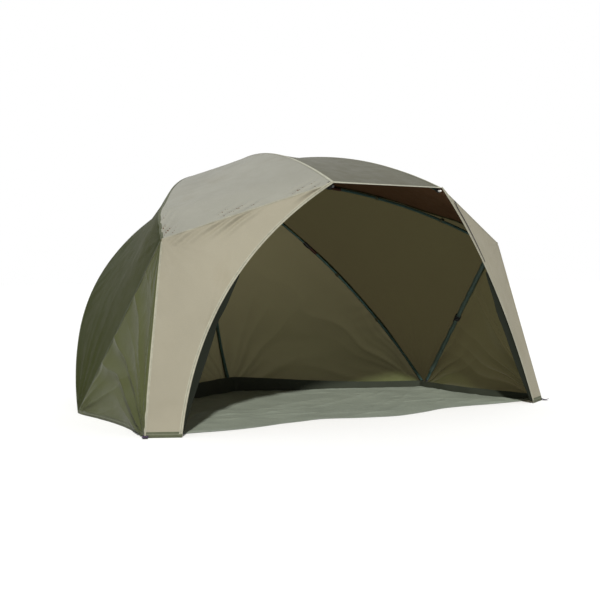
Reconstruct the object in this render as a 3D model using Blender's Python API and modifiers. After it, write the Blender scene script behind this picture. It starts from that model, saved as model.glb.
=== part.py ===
"""Fishing umbrella shelter: seven bowed ribs on one tilted crown, two corner legs, two braces,
panelled canopy, mud strip and groundsheet. Metres, +Z up, +X to the right, opening towards -Y."""

import math

import bmesh
import bpy
from mathutils import Matrix, Vector

# Plan of the pitched shelter, with Y counted from the middle of the groundsheet
FRONT_LINE_Y = -0.707
FRONT_FOOT_X = 1.185
FRONT_FOOT_SETBACK = 0.015
SIDE_FOOT_X = 1.110
SIDE_FOOT_DEPTH = 0.900
REAR_FOOT_DEPTH = 1.350

# Corner knuckles where the side ribs end
KNUCKLE_X = 1.020
KNUCKLE_DEPTH = 0.190
KNUCKLE_HEIGHT = 0.855

# Front peak, the two corners of the raised front edge
PEAK_X = 0.325
PEAK_OVERHANG = 0.168
PEAK_HEIGHT = 1.116

# Crown at the top of the rear wall, its axis tilted back from the vertical
CROWN_DEPTH = 1.432
CROWN_HEIGHT = 1.242
CROWN_TILT = math.radians(45)

# How far each rib bows out of its straight line
PEAK_BOW = 0.134
SIDE_BOW = 0.137
REAR_BOW = 0.297
CENTRE_BOW = 0.142

# Poles
INNER_POLE_RADIUS = 0.0055
OUTER_POLE_RADIUS = 0.0080
BRACE_RADIUS = 0.0085
JOINT_PLACE_SHARE = 0.36
RUN_GAP = 0.0003
TILT_GAP = 0.0008

# Mid joint of a rib: a black barrel, then a ferrule
BARREL_LENGTH = 0.055
BARREL_RADIUS = 0.0125
FERRULE_LENGTH = 0.055
FERRULE_RADIUS = 0.0098

# Crown body, its forks and its rivet
PIVOT_RADIUS = 0.045
CROWN_RADIUS = 0.060
CROWN_TOP = 0.016
CROWN_BOTTOM = 0.014
EYE_RADIUS = 0.0085
EYE_WIDTH = 0.009
SIDE_PLAY = 0.0006
EYE_NECK = 0.0105
EYE_REACH = 0.026
PIN_RADIUS = 0.0025
PIN_PLAY = 0.0003
PIN_OVERHANG = 0.0035
CUT_OVERRUN = 0.004
CAP_RADIUS = 0.088
CAP_THICKNESS = 0.004
CAP_DOME = 0.006
BOLT_RADIUS = 0.004
BOLT_HEAD_RADIUS = 0.010
BOLT_HEAD_HEIGHT = 0.005

# Corner knuckle: a barrel on the rib's end with two forks
CORNER_BARREL_LENGTH = 0.044
CORNER_BARREL_RADIUS = 0.0125
FORK_RADIUS = 0.010
FORK_CHEEK = 0.0032
LEG_LUG = 0.034
BRACE_LUG = 0.030
LUG_SPREAD = 0.008

# Ground feet and end caps
FOOT_RADIUS = 0.019
FOOT_HEIGHT = 0.026
FOOT_RIM = 0.006
BALL_RADIUS = 0.0105
BRACE_END_LIFT = 0.030
BRACE_END_AHEAD = 0.030
CAP_END_LENGTH = 0.022
CAP_END_RADIUS = 0.0095

# Canopy cloth
PEAK_SEAM_OUT = 0.018
SIDE_SEAM_OUT = 0.020
REAR_SEAM_OUT = 0.028
CENTRE_SEAM_OUT = 0.021
PEAK_SHIFT = Vector((0, -0.010, 0))
KNEE_SHIFT = Vector((0.0215, -0.0205, 0.0150))
FRONT_TOE_SHIFT = Vector((0.027, -0.018, 0.0015))
SIDE_TOE_SHIFT = Vector((0.028, 0.021, 0.0015))
REAR_TOE_SHIFT = Vector((0, 0.027, 0.0015))
CORNER_EASE = 0.2
CLOTH_THICKNESS = 0.0012
SEAM_GAP = 0.0004
CLOTH_START = 0.036
ROOF_SAG = 0.022
SIDE_SAG = 0.030
WALL_SAG = 0.035
LOWER_SAG = 0.015
HEM_PULL = 0.045
FOLD_DEPTH = 0.007
FOLD_COUNT = 5
CORNER_START = 0.020
OPENING_FOOT_X = 1.068
OPENING_FOOT_AHEAD = 0.080
OPENING_BULGE = 0.160

# Mud strip and groundsheet
STRIP_INSET = 0.058
STRIP_HEIGHT = 0.070
STRIP_THICKNESS = 0.0015
SHEET_THICKNESS = 0.0020
SHEET_INSET = 0.0196
SHEET_FRONT_BULGE = 0.035
SHEET_FRONT_AHEAD = 0.030

# Corner tabs of webbing at the ground
TAB_WIDTH = 0.025
TAB_LENGTH = 0.060
TAB_THICKNESS = 0.002

ROUND_SIDES = 16
RIB_STEPS = 18
CLOTH_ROWS = 12
CLOTH_COLUMNS = 8

# Folding: every rib ends this near the crown's axis
CLOSED_ANGLE = math.radians(10)

# Direction of a folded leg and brace, as shares of the rib's length turned inwards and across
LEG_FOLD_OUT = 0.12
LEG_FOLD_DOWN = 0.06
BRACE_FOLD_OUT = 0.04
BRACE_FOLD_DOWN = 0.06

AXIS = Vector((0, math.sin(CROWN_TILT), math.cos(CROWN_TILT)))
CROWN = Vector((0, FRONT_LINE_Y + CROWN_DEPTH, CROWN_HEIGHT))

COLOURS = {
    "pole": ((0.035, 0.050, 0.045, 1), 0.45, 0.3),
    "plastic": ((0.012, 0.012, 0.012, 1), 0.45, 0.0),
    "ferrule": ((0.075, 0.035, 0.025, 1), 0.40, 0.4),
    "steel": ((0.50, 0.50, 0.48, 1), 0.30, 1.0),
    "cloth": ((0.25, 0.26, 0.19, 1), 0.70, 0.0),
    "side_cloth": ((0.10, 0.11, 0.07, 1), 0.70, 0.0),
    "strip": ((0.03, 0.035, 0.033, 1), 0.75, 0.0),
    "sheet": ((0.21, 0.25, 0.19, 1), 0.75, 0.0),
}

for old in list(bpy.data.objects):
    bpy.data.objects.remove(old, do_unlink=True)

parts = bpy.data.collections.new("fishing_umbrella")
cutters = bpy.data.collections.new("cutters")
bpy.context.scene.collection.children.link(parts)
bpy.context.scene.collection.children.link(cutters)


def material(name, kind):
    """One Principled material for one node."""
    colour, roughness, metallic = COLOURS[kind]
    made = bpy.data.materials.new(name)
    made.use_nodes = True
    shader = made.node_tree.nodes["Principled BSDF"]
    shader.inputs["Base Color"].default_value = colour
    shader.inputs["Roughness"].default_value = roughness
    shader.inputs["Metallic"].default_value = metallic
    return made


def place(name, mesh, kind):
    """Link a finished mesh as the node NAME."""
    thing = bpy.data.objects.new(name, mesh)
    parts.objects.link(thing)
    mesh.materials.clear()
    mesh.materials.append(material(name, kind))
    return thing


def basis(origin, z_axis, x_hint):
    """A matrix at ORIGIN whose Z lies along z_axis and whose X lies near x_hint."""
    z = z_axis.normalized()
    x = (x_hint - z * x_hint.dot(z)).normalized()
    y = z.cross(x)
    turn = Matrix((x, y, z)).transposed().to_4x4()
    return Matrix.Translation(origin) @ turn


def baked(thing):
    """The evaluated mesh of an object, which is then removed."""
    bpy.context.view_layer.update()
    graph = bpy.context.evaluated_depsgraph_get()
    mesh = bpy.data.meshes.new_from_object(thing.evaluated_get(graph))
    mesh.transform(thing.matrix_world)
    bpy.data.objects.remove(thing, do_unlink=True)
    work = bmesh.new()
    work.from_mesh(mesh)
    bmesh.ops.remove_doubles(work, verts=work.verts, dist=WELD)
    bmesh.ops.recalc_face_normals(work, faces=work.faces)
    work.to_mesh(mesh)
    work.free()
    return mesh


WELD = RUN_GAP / 30


def tube(points, radius, sides=3, closed=False):
    """A round pole through points, with filled ends, or a closed ring."""
    curve = bpy.data.curves.new("tube", "CURVE")
    curve.dimensions = "3D"
    curve.bevel_depth = radius
    curve.bevel_resolution = sides
    curve.use_fill_caps = True
    line = curve.splines.new("POLY")
    line.points.add(len(points) - 1)
    line.use_cyclic_u = closed
    for spot, point in zip(line.points, points):
        spot.co = (*point, 1)
    thing = bpy.data.objects.new("tube", curve)
    parts.objects.link(thing)
    return baked(thing)


def turned(profile, matrix):
    """A solid of revolution about the matrix's Z; the profile runs down its outer side."""
    work = bmesh.new()
    spots = [work.verts.new((radius, 0, height)) for radius, height in profile]
    for first, second in zip(spots, spots[1:]):
        work.edges.new((first, second))
    mesh = bpy.data.meshes.new("turned")
    work.to_mesh(mesh)
    work.free()
    thing = bpy.data.objects.new("turned", mesh)
    parts.objects.link(thing)
    screw = thing.modifiers.new("turn", "SCREW")
    screw.axis = "Z"
    screw.steps = ROUND_SIDES
    screw.render_steps = ROUND_SIDES
    screw.use_merge_vertices = True
    screw.merge_threshold = WELD
    thing.matrix_world = matrix
    return baked(thing)


def rod(start, end, radius):
    """A plain cylinder between two points."""
    length = (end - start).length
    profile = [(0, length), (radius, length), (radius, 0), (0, 0)]
    hint = Vector((1, 0, 0)) if abs((end - start).normalized().x) < 0.9 else Vector((0, 0, 1))
    return turned(profile, basis(start, end - start, hint))


def plate(outline, thickness, matrix):
    """A flat outline in the matrix's XY plane, as thick as asked and centred on that plane."""
    curve = bpy.data.curves.new("plate", "CURVE")
    curve.dimensions = "2D"
    curve.fill_mode = "BOTH"
    curve.extrude = thickness / 2
    line = curve.splines.new("POLY")
    line.points.add(len(outline) - 1)
    line.use_cyclic_u = True
    for spot, (x, y) in zip(line.points, outline):
        spot.co = (x, y, 0, 1)
    thing = bpy.data.objects.new("plate", curve)
    parts.objects.link(thing)
    thing.matrix_world = matrix
    return baked(thing)


def combine(mesh, other, operation):
    """An exact Boolean of two meshes."""
    base = bpy.data.objects.new("base", mesh)
    tool = bpy.data.objects.new("tool", other)
    parts.objects.link(base)
    cutters.objects.link(tool)
    tool.hide_render = True
    tool.display_type = "WIRE"
    cut = base.modifiers.new("cut", "BOOLEAN")
    cut.operation = operation
    cut.object = tool
    cut.solver = "EXACT"
    result = baked(base)
    bpy.data.objects.remove(tool, do_unlink=True)
    return result


def slot_shape(radius, reach, width):
    """Outline of an eye at the origin with a bar that reaches along +Y."""
    count = ROUND_SIDES
    half = width / 2
    start = math.asin(min(1, half / radius))
    sweep = 2 * math.pi - 2 * start
    arc = []
    for step in range(count + 1):
        angle = math.pi / 2 + start + sweep * step / count
        arc.append((radius * math.cos(angle), radius * math.sin(angle)))
    return [(-half, reach)] + arc + [(half, reach)]


class Rib:
    """One rib: where it pivots on the crown, where it ends and how it bows."""

    def __init__(self, name, tip, bow, outer_radius, seam_out, cloth_corner):
        self.name = name
        self.seam_out = seam_out
        self.cloth_corner = cloth_corner
        self.tip = tip
        self.bow = bow
        self.outer_radius = outer_radius
        chord = tip - CROWN
        flat = chord - AXIS * chord.dot(AXIS)
        self.pivot = CROWN + flat.normalized() * PIVOT_RADIUS
        self.chord = tip - self.pivot
        self.along = self.chord.normalized()
        self.out = (AXIS - self.along * AXIS.dot(self.along)).normalized()
        self.hinge = self.along.cross(self.out)
        self.length = self.chord.length

    def at(self, share):
        """Point on the rib's centre line, from the pivot at 0 to the tip at 1."""
        return self.pivot + self.chord * share + self.out * (4 * self.bow * share * (1 - share))

    def way(self, share):
        """Unit tangent there."""
        return (self.chord + self.out * (4 * self.bow * (1 - 2 * share))).normalized()

    def pace(self, share):
        """Length of rib per unit of share there."""
        return (self.chord + self.out * (4 * self.bow * (1 - 2 * share))).length

    def run(self, start, end, steps):
        """Points from one share to another."""
        return [self.at(start + (end - start) * step / steps) for step in range(steps + 1)]

    def fold_angle(self):
        """How far the rib swings in when the shelter is folded."""
        return math.acos(max(-1, min(1, -self.along.dot(AXIS)))) - CLOSED_ANGLE


def mirrored(point, side):
    return Vector((point.x * side, point.y, point.z))


def deep(x, depth, height):
    """A point given by its distance behind the front line."""
    return Vector((x, FRONT_LINE_Y + depth, height))


RIBS = {}
SIDES = {"right": 1, "left": -1}
for word, side in SIDES.items():
    tip = deep(PEAK_X * side, -PEAK_OVERHANG, PEAK_HEIGHT)
    corner_point = tip + mirrored(PEAK_SHIFT, side)
    RIBS["peak_" + word] = Rib("peak_" + word, tip, PEAK_BOW, INNER_POLE_RADIUS, PEAK_SEAM_OUT, corner_point)
    tip = deep(KNUCKLE_X * side, KNUCKLE_DEPTH, KNUCKLE_HEIGHT)
    corner_point = tip + mirrored(KNEE_SHIFT, side)
    RIBS["side_" + word] = Rib("side_" + word, tip, SIDE_BOW, OUTER_POLE_RADIUS, SIDE_SEAM_OUT, corner_point)
    tip = deep(SIDE_FOOT_X * side, SIDE_FOOT_DEPTH, FOOT_HEIGHT)
    corner_point = deep(SIDE_FOOT_X * side, SIDE_FOOT_DEPTH, 0) + mirrored(SIDE_TOE_SHIFT, side)
    RIBS["rear_" + word] = Rib("rear_" + word, tip, REAR_BOW, OUTER_POLE_RADIUS, REAR_SEAM_OUT, corner_point)
tip = deep(0, REAR_FOOT_DEPTH, FOOT_HEIGHT)
corner_point = deep(0, REAR_FOOT_DEPTH, 0) + REAR_TOE_SHIFT
RIBS["centre"] = Rib("centre", tip, CENTRE_BOW, OUTER_POLE_RADIUS, CENTRE_SEAM_OUT, corner_point)
for word in SIDES:
    RIBS["peak_" + word].cloth_corner += RIBS["peak_" + word].out * PEAK_SEAM_OUT


def eye(pivot, hinge, way, reach):
    """A flat eye on a pin, with a neck that reaches along WAY to meet a pole."""
    matrix = basis(pivot, hinge, way.cross(hinge))
    mesh = plate(slot_shape(EYE_RADIUS, reach, EYE_NECK), EYE_WIDTH, matrix)
    half = hinge.normalized() * (EYE_WIDTH / 2 + CUT_OVERRUN)
    bore = rod(pivot - half, pivot + half, PIN_RADIUS + PIN_PLAY)
    return combine(mesh, bore, "DIFFERENCE")


def barrel_profile(length, radius, end_radius):
    """A barrel, fuller in the middle, from its top down."""
    half = length / 2
    return [(0, half), (end_radius, half), (end_radius, half * 0.72), (radius, half * 0.45),
            (radius, -half * 0.45), (end_radius, -half * 0.72), (end_radius, -half), (0, -half)]


def foot(name, ground, kind="plastic"):
    """A ground foot: a flat disc with a ball on top, standing on Z = 0."""
    profile = [(0, FOOT_HEIGHT + BALL_RADIUS)]
    for step in range(1, 5):
        angle = math.radians(90 - 27 * step)
        profile.append((BALL_RADIUS * math.cos(angle), FOOT_HEIGHT + BALL_RADIUS * math.sin(angle)))
    profile += [(FOOT_RADIUS * 0.8, FOOT_RIM * 1.8), (FOOT_RADIUS, FOOT_RIM), (FOOT_RADIUS, 0), (0, 0)]
    spot = Matrix.Translation(Vector((ground.x, ground.y, 0)))
    return place(name, turned(profile, spot), kind)


def rib_nodes(rib):
    """Eye and inner pole in one, mid barrel, ferrule, outer pole."""
    start_way = rib.way(0)
    eye_share = EYE_REACH / rib.pace(0)
    mid = JOINT_PLACE_SHARE
    half_barrel = (BARREL_LENGTH / 2 + RUN_GAP) / rib.pace(mid)
    ferrule = FERRULE_LENGTH / rib.pace(mid)
    neck = eye(rib.pivot, rib.hinge, start_way, EYE_REACH)
    bury = EYE_NECK / 2 / rib.pace(0)
    pole = tube(rib.run(eye_share - bury, mid - half_barrel, RIB_STEPS // 2), INNER_POLE_RADIUS)
    place("rib_" + rib.name + "_inner", combine(neck, pole, "UNION"), "pole")
    place("joint_" + rib.name,
          turned(barrel_profile(BARREL_LENGTH, BARREL_RADIUS, FERRULE_RADIUS),
                 basis(rib.at(mid), rib.way(mid), rib.hinge)), "plastic")
    ferrule_end = mid + half_barrel + ferrule
    bottom = rib.at(mid) + rib.way(mid) * (BARREL_LENGTH / 2 + TILT_GAP)
    top = bottom + (rib.at(ferrule_end) - bottom).normalized() * FERRULE_LENGTH
    profile = [(0, FERRULE_LENGTH), (rib.outer_radius, FERRULE_LENGTH),
               (FERRULE_RADIUS, FERRULE_LENGTH * 0.8), (FERRULE_RADIUS, 0), (0, 0)]
    outer_start = ferrule_end + 2 * TILT_GAP / rib.pace(mid)
    place("ferrule_" + rib.name, turned(profile, basis(bottom, top - bottom, rib.hinge)), "ferrule")
    return outer_start


def outer_pole(rib, start, end):
    place("rib_" + rib.name + "_outer", tube(rib.run(start, end, RIB_STEPS), rib.outer_radius), "pole")


def ring_points():
    """Corners of the wire ring, straight through every rib's eye."""
    def bearing(rib):
        arm = rib.pivot - CROWN
        return math.atan2(arm.dot(AXIS.cross(Vector((1, 0, 0)))), arm.x)

    points = []
    for rib in sorted(RIBS.values(), key=bearing):
        onward = AXIS.cross(rib.pivot - CROWN).normalized()
        half = onward * (EYE_WIDTH / 2 + SIDE_PLAY + PIN_OVERHANG)
        points += [rib.pivot - half, rib.pivot + half]
    return points


def crown():
    """The crown with a slot for each rib, and the wire ring that the ribs turn on."""
    matrix = basis(CROWN, AXIS, Vector((1, 0, 0)))
    profile = [(0, CROWN_TOP), (CROWN_RADIUS * 0.85, CROWN_TOP), (CROWN_RADIUS, CROWN_TOP * 0.6),
               (CROWN_RADIUS, -CROWN_BOTTOM * 0.7), (CROWN_RADIUS * 0.9, -CROWN_BOTTOM), (0, -CROWN_BOTTOM)]
    body = turned(profile, matrix)
    slot_half = EYE_RADIUS + SIDE_PLAY * 2
    for rib in RIBS.values():
        out = (rib.pivot - CROWN).normalized()
        frame = basis(rib.pivot, rib.hinge, out)
        drop = CROWN_BOTTOM + CUT_OVERRUN
        outside = CROWN_RADIUS - PIVOT_RADIUS + CUT_OVERRUN
        low = -1 if frame.col[1].xyz.dot(AXIS) > 0 else 1
        outline = [(-slot_half, -low * slot_half), (outside, -low * slot_half),
                   (outside, low * drop), (-slot_half, low * drop)]
        body = combine(body, plate(outline, EYE_WIDTH + 2 * SIDE_PLAY, frame), "DIFFERENCE")
    ring = ring_points()
    body = combine(body, tube(ring, PIN_RADIUS + PIN_PLAY, closed=True), "DIFFERENCE")
    through = rod(CROWN - AXIS * (CROWN_BOTTOM + CUT_OVERRUN), CROWN + AXIS * (CROWN_TOP + CUT_OVERRUN),
                  BOLT_RADIUS + PIN_PLAY)
    place("crown", combine(body, through, "DIFFERENCE"), "plastic")
    place("crown_ring", tube(ring, PIN_RADIUS, closed=True), "steel")


def canopy_height_over_crown(meshes):
    """Highest point of the cloth above the crown's pivots, under the cap's rim."""
    top = -CROWN_TOP
    for mesh in meshes:
        for vertex in mesh.vertices:
            arm = vertex.co - CROWN
            height = arm.dot(AXIS)
            if (arm - AXIS * height).length < CAP_RADIUS and height < CROWN_TOP * 2:
                top = max(top, height)
    return top


def crown_cap(meshes):
    """Domed cap that clamps the cloth, with its rivet."""
    matrix = basis(CROWN, AXIS, Vector((1, 0, 0)))
    rim = canopy_height_over_crown(meshes) + RUN_GAP
    flat = CROWN_TOP + RUN_GAP
    inner = CAP_RADIUS - CAP_THICKNESS
    hole = BOLT_RADIUS + PIN_PLAY
    top = flat + CAP_THICKNESS
    profile = [(hole, flat), (hole, top + CAP_DOME / 2), (CAP_RADIUS * 0.5, top + CAP_DOME / 3),
               (CAP_RADIUS * 0.9, top), (CAP_RADIUS, max(rim, flat) + RUN_GAP), (CAP_RADIUS, rim),
               (inner, rim), (inner, flat), (hole, flat)]
    place("crown_cap", turned(profile, matrix), "plastic")
    head = top + CAP_DOME / 2 + RUN_GAP
    under = -CROWN_BOTTOM - RUN_GAP
    profile = [(0, head + BOLT_HEAD_HEIGHT), (BOLT_HEAD_RADIUS * 0.6, head + BOLT_HEAD_HEIGHT),
               (BOLT_HEAD_RADIUS, head + BOLT_HEAD_HEIGHT * 0.4), (BOLT_HEAD_RADIUS, head),
               (BOLT_RADIUS, head), (BOLT_RADIUS, under), (BOLT_HEAD_RADIUS, under),
               (BOLT_HEAD_RADIUS, under - BOLT_HEAD_HEIGHT), (0, under - BOLT_HEAD_HEIGHT)]
    place("crown_rivet", turned(profile, matrix), "steel")


class Arm:
    """A straight pole that hinges on a corner knuckle: the leg or the brace."""

    def __init__(self, hub, lug, end, folded):
        self.hub = hub
        self.end = end
        self.way = (end - hub).normalized()
        self.pivot = hub + self.way * lug
        self.folded = folded.normalized()
        self.hinge = self.way.cross(self.folded).normalized()
        self.length = (end - self.pivot).length

    def fold_angle(self):
        return math.acos(max(-1, min(1, self.way.dot(self.folded))))


def corner_arms(word):
    """The leg and the brace of one side."""
    side = SIDES[word]
    rib = RIBS["side_" + word]
    down = rib.hinge * -side
    leg_hub = rib.tip - down * LUG_SPREAD
    brace_hub = rib.tip + down * LUG_SPREAD
    leg_end = deep(FRONT_FOOT_X * side, FRONT_FOOT_SETBACK, FOOT_HEIGHT)
    brace_end = deep(SIDE_FOOT_X * side, SIDE_FOOT_DEPTH - BRACE_END_AHEAD, BRACE_END_LIFT)
    leg_folded = -rib.along - rib.out * LEG_FOLD_OUT + down * LEG_FOLD_DOWN
    brace_folded = -rib.along - rib.out * BRACE_FOLD_OUT + down * BRACE_FOLD_DOWN
    leg = Arm(leg_hub, LEG_LUG, leg_end, leg_folded)
    brace = Arm(brace_hub, BRACE_LUG, brace_end, brace_folded)
    return leg, brace


def fork_frame(arm):
    """Plane of an arm's swing, its Z along the hinge and its Y where the arm stands when pitched."""
    return basis(arm.pivot, arm.hinge, arm.way.cross(arm.hinge))


def fork_body(arm):
    """The lug of a corner knuckle that holds an arm's eye."""
    width = EYE_WIDTH + 2 * SIDE_PLAY + 2 * FORK_CHEEK
    web = arm.hub - arm.pivot
    frame = basis(arm.pivot, arm.hinge, web.cross(arm.hinge))
    return plate(slot_shape(FORK_RADIUS, web.length, FORK_RADIUS * 1.6), width, frame)


def swing_gap(arm):
    """Room for an arm's eye and neck over the whole of its swing."""
    clear = EYE_RADIUS + 2 * SIDE_PLAY
    frame = fork_frame(arm)
    turn = frame.inverted().to_3x3() @ arm.folded
    sweep = math.atan2(turn.y, turn.x) - math.pi / 2
    sweep = math.atan2(math.sin(sweep), math.cos(sweep))
    spread = math.copysign(math.asin(min(1, clear / EYE_REACH)), sweep)
    first = math.pi / 2 - spread
    last = math.pi / 2 + sweep + spread
    outline = []
    for step in range(ROUND_SIDES + 1):
        angle = first + (last - first) * step / ROUND_SIDES
        outline.append((EYE_REACH * math.cos(angle), EYE_REACH * math.sin(angle)))
    start = math.pi / 2 + sweep + math.copysign(math.pi / 2, sweep)
    rest = math.copysign(2 * math.pi, sweep) + math.pi / 2 - math.copysign(math.pi / 2, sweep)
    for step in range(ROUND_SIDES // 2 + 1):
        angle = start + (rest - start) * step / (ROUND_SIDES // 2)
        outline.append((clear * math.cos(angle), clear * math.sin(angle)))
    return plate(outline, EYE_WIDTH + 2 * SIDE_PLAY, frame)


def knuckle(rib, arms):
    """Barrel on the end of a side rib, with a lug, a slot and a pin for each arm."""
    profile = barrel_profile(CORNER_BARREL_LENGTH, CORNER_BARREL_RADIUS, FERRULE_RADIUS)
    mesh = turned(profile, basis(rib.tip, rib.way(1), rib.hinge))
    for arm in arms:
        mesh = combine(mesh, fork_body(arm), "UNION")
    for arm in arms:
        mesh = combine(mesh, swing_gap(arm), "DIFFERENCE")
    for arm in arms:
        half = arm.hinge * (EYE_WIDTH / 2 + SIDE_PLAY + FORK_CHEEK * 0.7)
        mesh = combine(mesh, rod(arm.pivot - half, arm.pivot + half, PIN_RADIUS), "UNION")
    return mesh


def corner(word):
    """Corner knuckle of one side with its leg, brace and feet."""
    rib = RIBS["side_" + word]
    leg, brace = corner_arms(word)
    place("corner_knuckle_" + word, knuckle(rib, (leg, brace)), "plastic")
    for name, arm, radius in (("leg", leg, OUTER_POLE_RADIUS), ("brace", brace, BRACE_RADIUS)):
        neck = eye(arm.pivot, arm.hinge, arm.way, EYE_REACH)
        stop = arm.end - arm.way * (BALL_RADIUS + RUN_GAP if name == "leg" else CAP_END_LENGTH)
        start = arm.pivot + arm.way * (EYE_REACH - EYE_NECK / 2)
        pole = rod(start, stop, radius)
        place(name + "_" + word, combine(neck, pole, "UNION"), "pole")
    foot("foot_front_" + word, leg.end)
    foot("foot_side_" + word, RIBS["rear_" + word].tip)
    cap = brace.end - brace.way * (CAP_END_LENGTH - RUN_GAP)
    profile = [(0, CAP_END_LENGTH), (CAP_END_RADIUS * 0.6, CAP_END_LENGTH),
               (CAP_END_RADIUS, CAP_END_LENGTH * 0.7), (CAP_END_RADIUS, 0), (0, 0)]
    place("brace_tip_" + word, turned(profile, basis(cap, brace.way, rib.hinge)), "plastic")


def cloth_line(rib, share):
    """Seam of the cloth over a rib, eased out at the end to the cloth's own corner."""
    ease = max(0.0, (share - 1 + CORNER_EASE) / CORNER_EASE)
    shift = rib.cloth_corner - rib.tip - rib.out * rib.seam_out
    return rib.at(share) + rib.out * rib.seam_out + shift * ease


def mix(first, second, share):
    return first * (1 - share) + second * share


def sheet_mesh(rows):
    """An open surface through rows of points."""
    work = bmesh.new()
    grid = [[work.verts.new(point) for point in row] for row in rows]
    for upper, lower in zip(grid, grid[1:]):
        for left in range(len(upper) - 1):
            work.faces.new((upper[left], lower[left], lower[left + 1], upper[left + 1]))
    mesh = bpy.data.meshes.new("cloth")
    work.to_mesh(mesh)
    work.free()
    return mesh


def inside_point():
    return deep(0, SIDE_FOOT_DEPTH * 0.7, KNUCKLE_HEIGHT * 0.5)


def cloth(name, rows, kind):
    """Thicken an open surface outwards into a closed panel."""
    mesh = sheet_mesh(rows)
    middle = rows[len(rows) // 2][len(rows[0]) // 2]
    mesh.update()
    facing = sum((face.normal.dot(middle - inside_point()) for face in mesh.polygons), 0.0)
    if facing < 0:
        mesh.flip_normals()
    thing = bpy.data.objects.new("cloth", mesh)
    parts.objects.link(thing)
    thick = thing.modifiers.new("thick", "SOLIDIFY")
    thick.thickness = CLOTH_THICKNESS
    thick.offset = 1
    made = baked(thing)
    place(name, made, kind)
    return made


def panel_rows(left, right, start, end, sag, pull, rows=CLOTH_ROWS, columns=CLOTH_COLUMNS):
    """Rows of points between two seams. SAG draws the middle in, PULL draws the last row's middle in."""
    made = []
    for step in range(rows + 1):
        share = start + (end - start) * step / rows
        one = left(share)
        two = right(share)
        width = (two - one).length
        edge = SEAM_GAP / width
        centre = (one + two) / 2
        inward = (inside_point() - centre).normalized()
        row = []
        for column in range(columns + 1):
            across = edge + (1 - 2 * edge) * column / columns
            droop = math.sin(math.pi * across)
            depth = sag * droop * math.sin(math.pi * min(1, step / rows)) ** 0.8
            depth += pull * droop * (step / rows) ** 3
            row.append(mix(one, two, across) + inward * depth)
        made.append(row)
    return made


def front_toe(word):
    """Where the cloth meets the ground outside a front foot."""
    side = SIDES[word]
    return deep(FRONT_FOOT_X * side, FRONT_FOOT_SETBACK, 0) + mirrored(FRONT_TOE_SHIFT, side)


def opening_edge(word, share):
    """Free edge of the opening, from the peak's corner down to the ground, drawn into the cloth."""
    side = SIDES[word]
    top = RIBS["peak_" + word].cloth_corner
    foot_point = deep(OPENING_FOOT_X * side, -OPENING_FOOT_AHEAD, FRONT_TOE_SHIFT.z)
    out = RIBS["side_" + word].cloth_corner - mix(top, foot_point, 0.5)
    line = foot_point - top
    out -= line * (out.dot(line) / line.length_squared)
    bulge = out.normalized() * (OPENING_BULGE * 4 * share * (1 - share))
    return mix(top, foot_point, share) + bulge


def outer_edge(word, share):
    """Outer side of the front panel: along the roof seam to the knuckle, then down the leg."""
    top = RIBS["peak_" + word].cloth_corner
    knee = RIBS["side_" + word].cloth_corner
    if share < KNEE_SHARE:
        return mix(top, knee, share / KNEE_SHARE)
    return mix(knee, front_toe(word), (share - KNEE_SHARE) / (1 - KNEE_SHARE))


KNEE_SHARE = 0.5


def canopy():
    """All the cloth panels, hub to hem."""
    made = []
    first = RIBS["peak_left"]
    second = RIBS["peak_right"]
    start = CLOTH_START / first.length
    stop = 1 - SEAM_GAP / first.length
    rows = panel_rows(lambda s: cloth_line(first, s), lambda s: cloth_line(second, s), start, stop, ROOF_SAG, 0)
    made.append(cloth("canopy_peak", rows, "cloth"))
    for word, side in SIDES.items():
        peak = RIBS["peak_" + word]
        ridge = RIBS["side_" + word]
        rear = RIBS["rear_" + word]
        spine = RIBS["centre"]
        rows = panel_rows(lambda s: cloth_line(peak, s), lambda s: cloth_line(ridge, s),
                          start, stop, ROOF_SAG, 0)
        made.append(cloth("canopy_roof_" + word, rows, "cloth"))
        rows = panel_rows(lambda s: cloth_line(ridge, s), lambda s: cloth_line(rear, s),
                          start, stop, SIDE_SAG, 0)
        made.append(cloth("canopy_side_" + word, rows, "side_cloth"))
        rows = panel_rows(lambda s: cloth_line(rear, s), lambda s: cloth_line(spine, s),
                          start, 1, WALL_SAG, HEM_PULL)
        made.append(cloth("canopy_rear_" + word, rows, "side_cloth"))
        knee = ridge.cloth_corner
        toe = front_toe(word)
        heel = rear.cloth_corner
        begin = CORNER_START / (toe - knee).length
        rows = panel_rows(lambda s: mix(knee, toe, s), lambda s: mix(knee, heel, s),
                          begin, 1, LOWER_SAG, HEM_PULL)
        rows = fan_folds(rows, begin)
        made.append(cloth("canopy_lower_" + word, rows, "side_cloth"))
        begin = CORNER_START / (peak.cloth_corner - knee).length
        rows = panel_rows(lambda s: outer_edge(word, s), lambda s: opening_edge(word, s),
                          begin, 1, 0, 0)
        made.append(cloth("canopy_front_" + word, rows, "cloth"))
    return made


def fan_folds(rows, begin):
    """Folds that fan out of the front toe over a lower side panel."""
    made = []
    last = len(rows) - 1
    for number, row in enumerate(rows):
        fall = number / last
        line = []
        for column, point in enumerate(row):
            across = column / (len(row) - 1)
            normal = (row[-1] - row[0]).cross(Vector((0, 0, 1))).normalized()
            if normal.dot(row[0] - inside_point()) > 0:
                normal.negate()
            wave = math.sin(FOLD_COUNT * math.pi * across) ** 2
            hold = math.sin(math.pi * across) * fall ** 2 * (1 - fall * 0.3)
            line.append(point + normal * FOLD_DEPTH * wave * hold)
        made.append(line)
    return made


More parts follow.
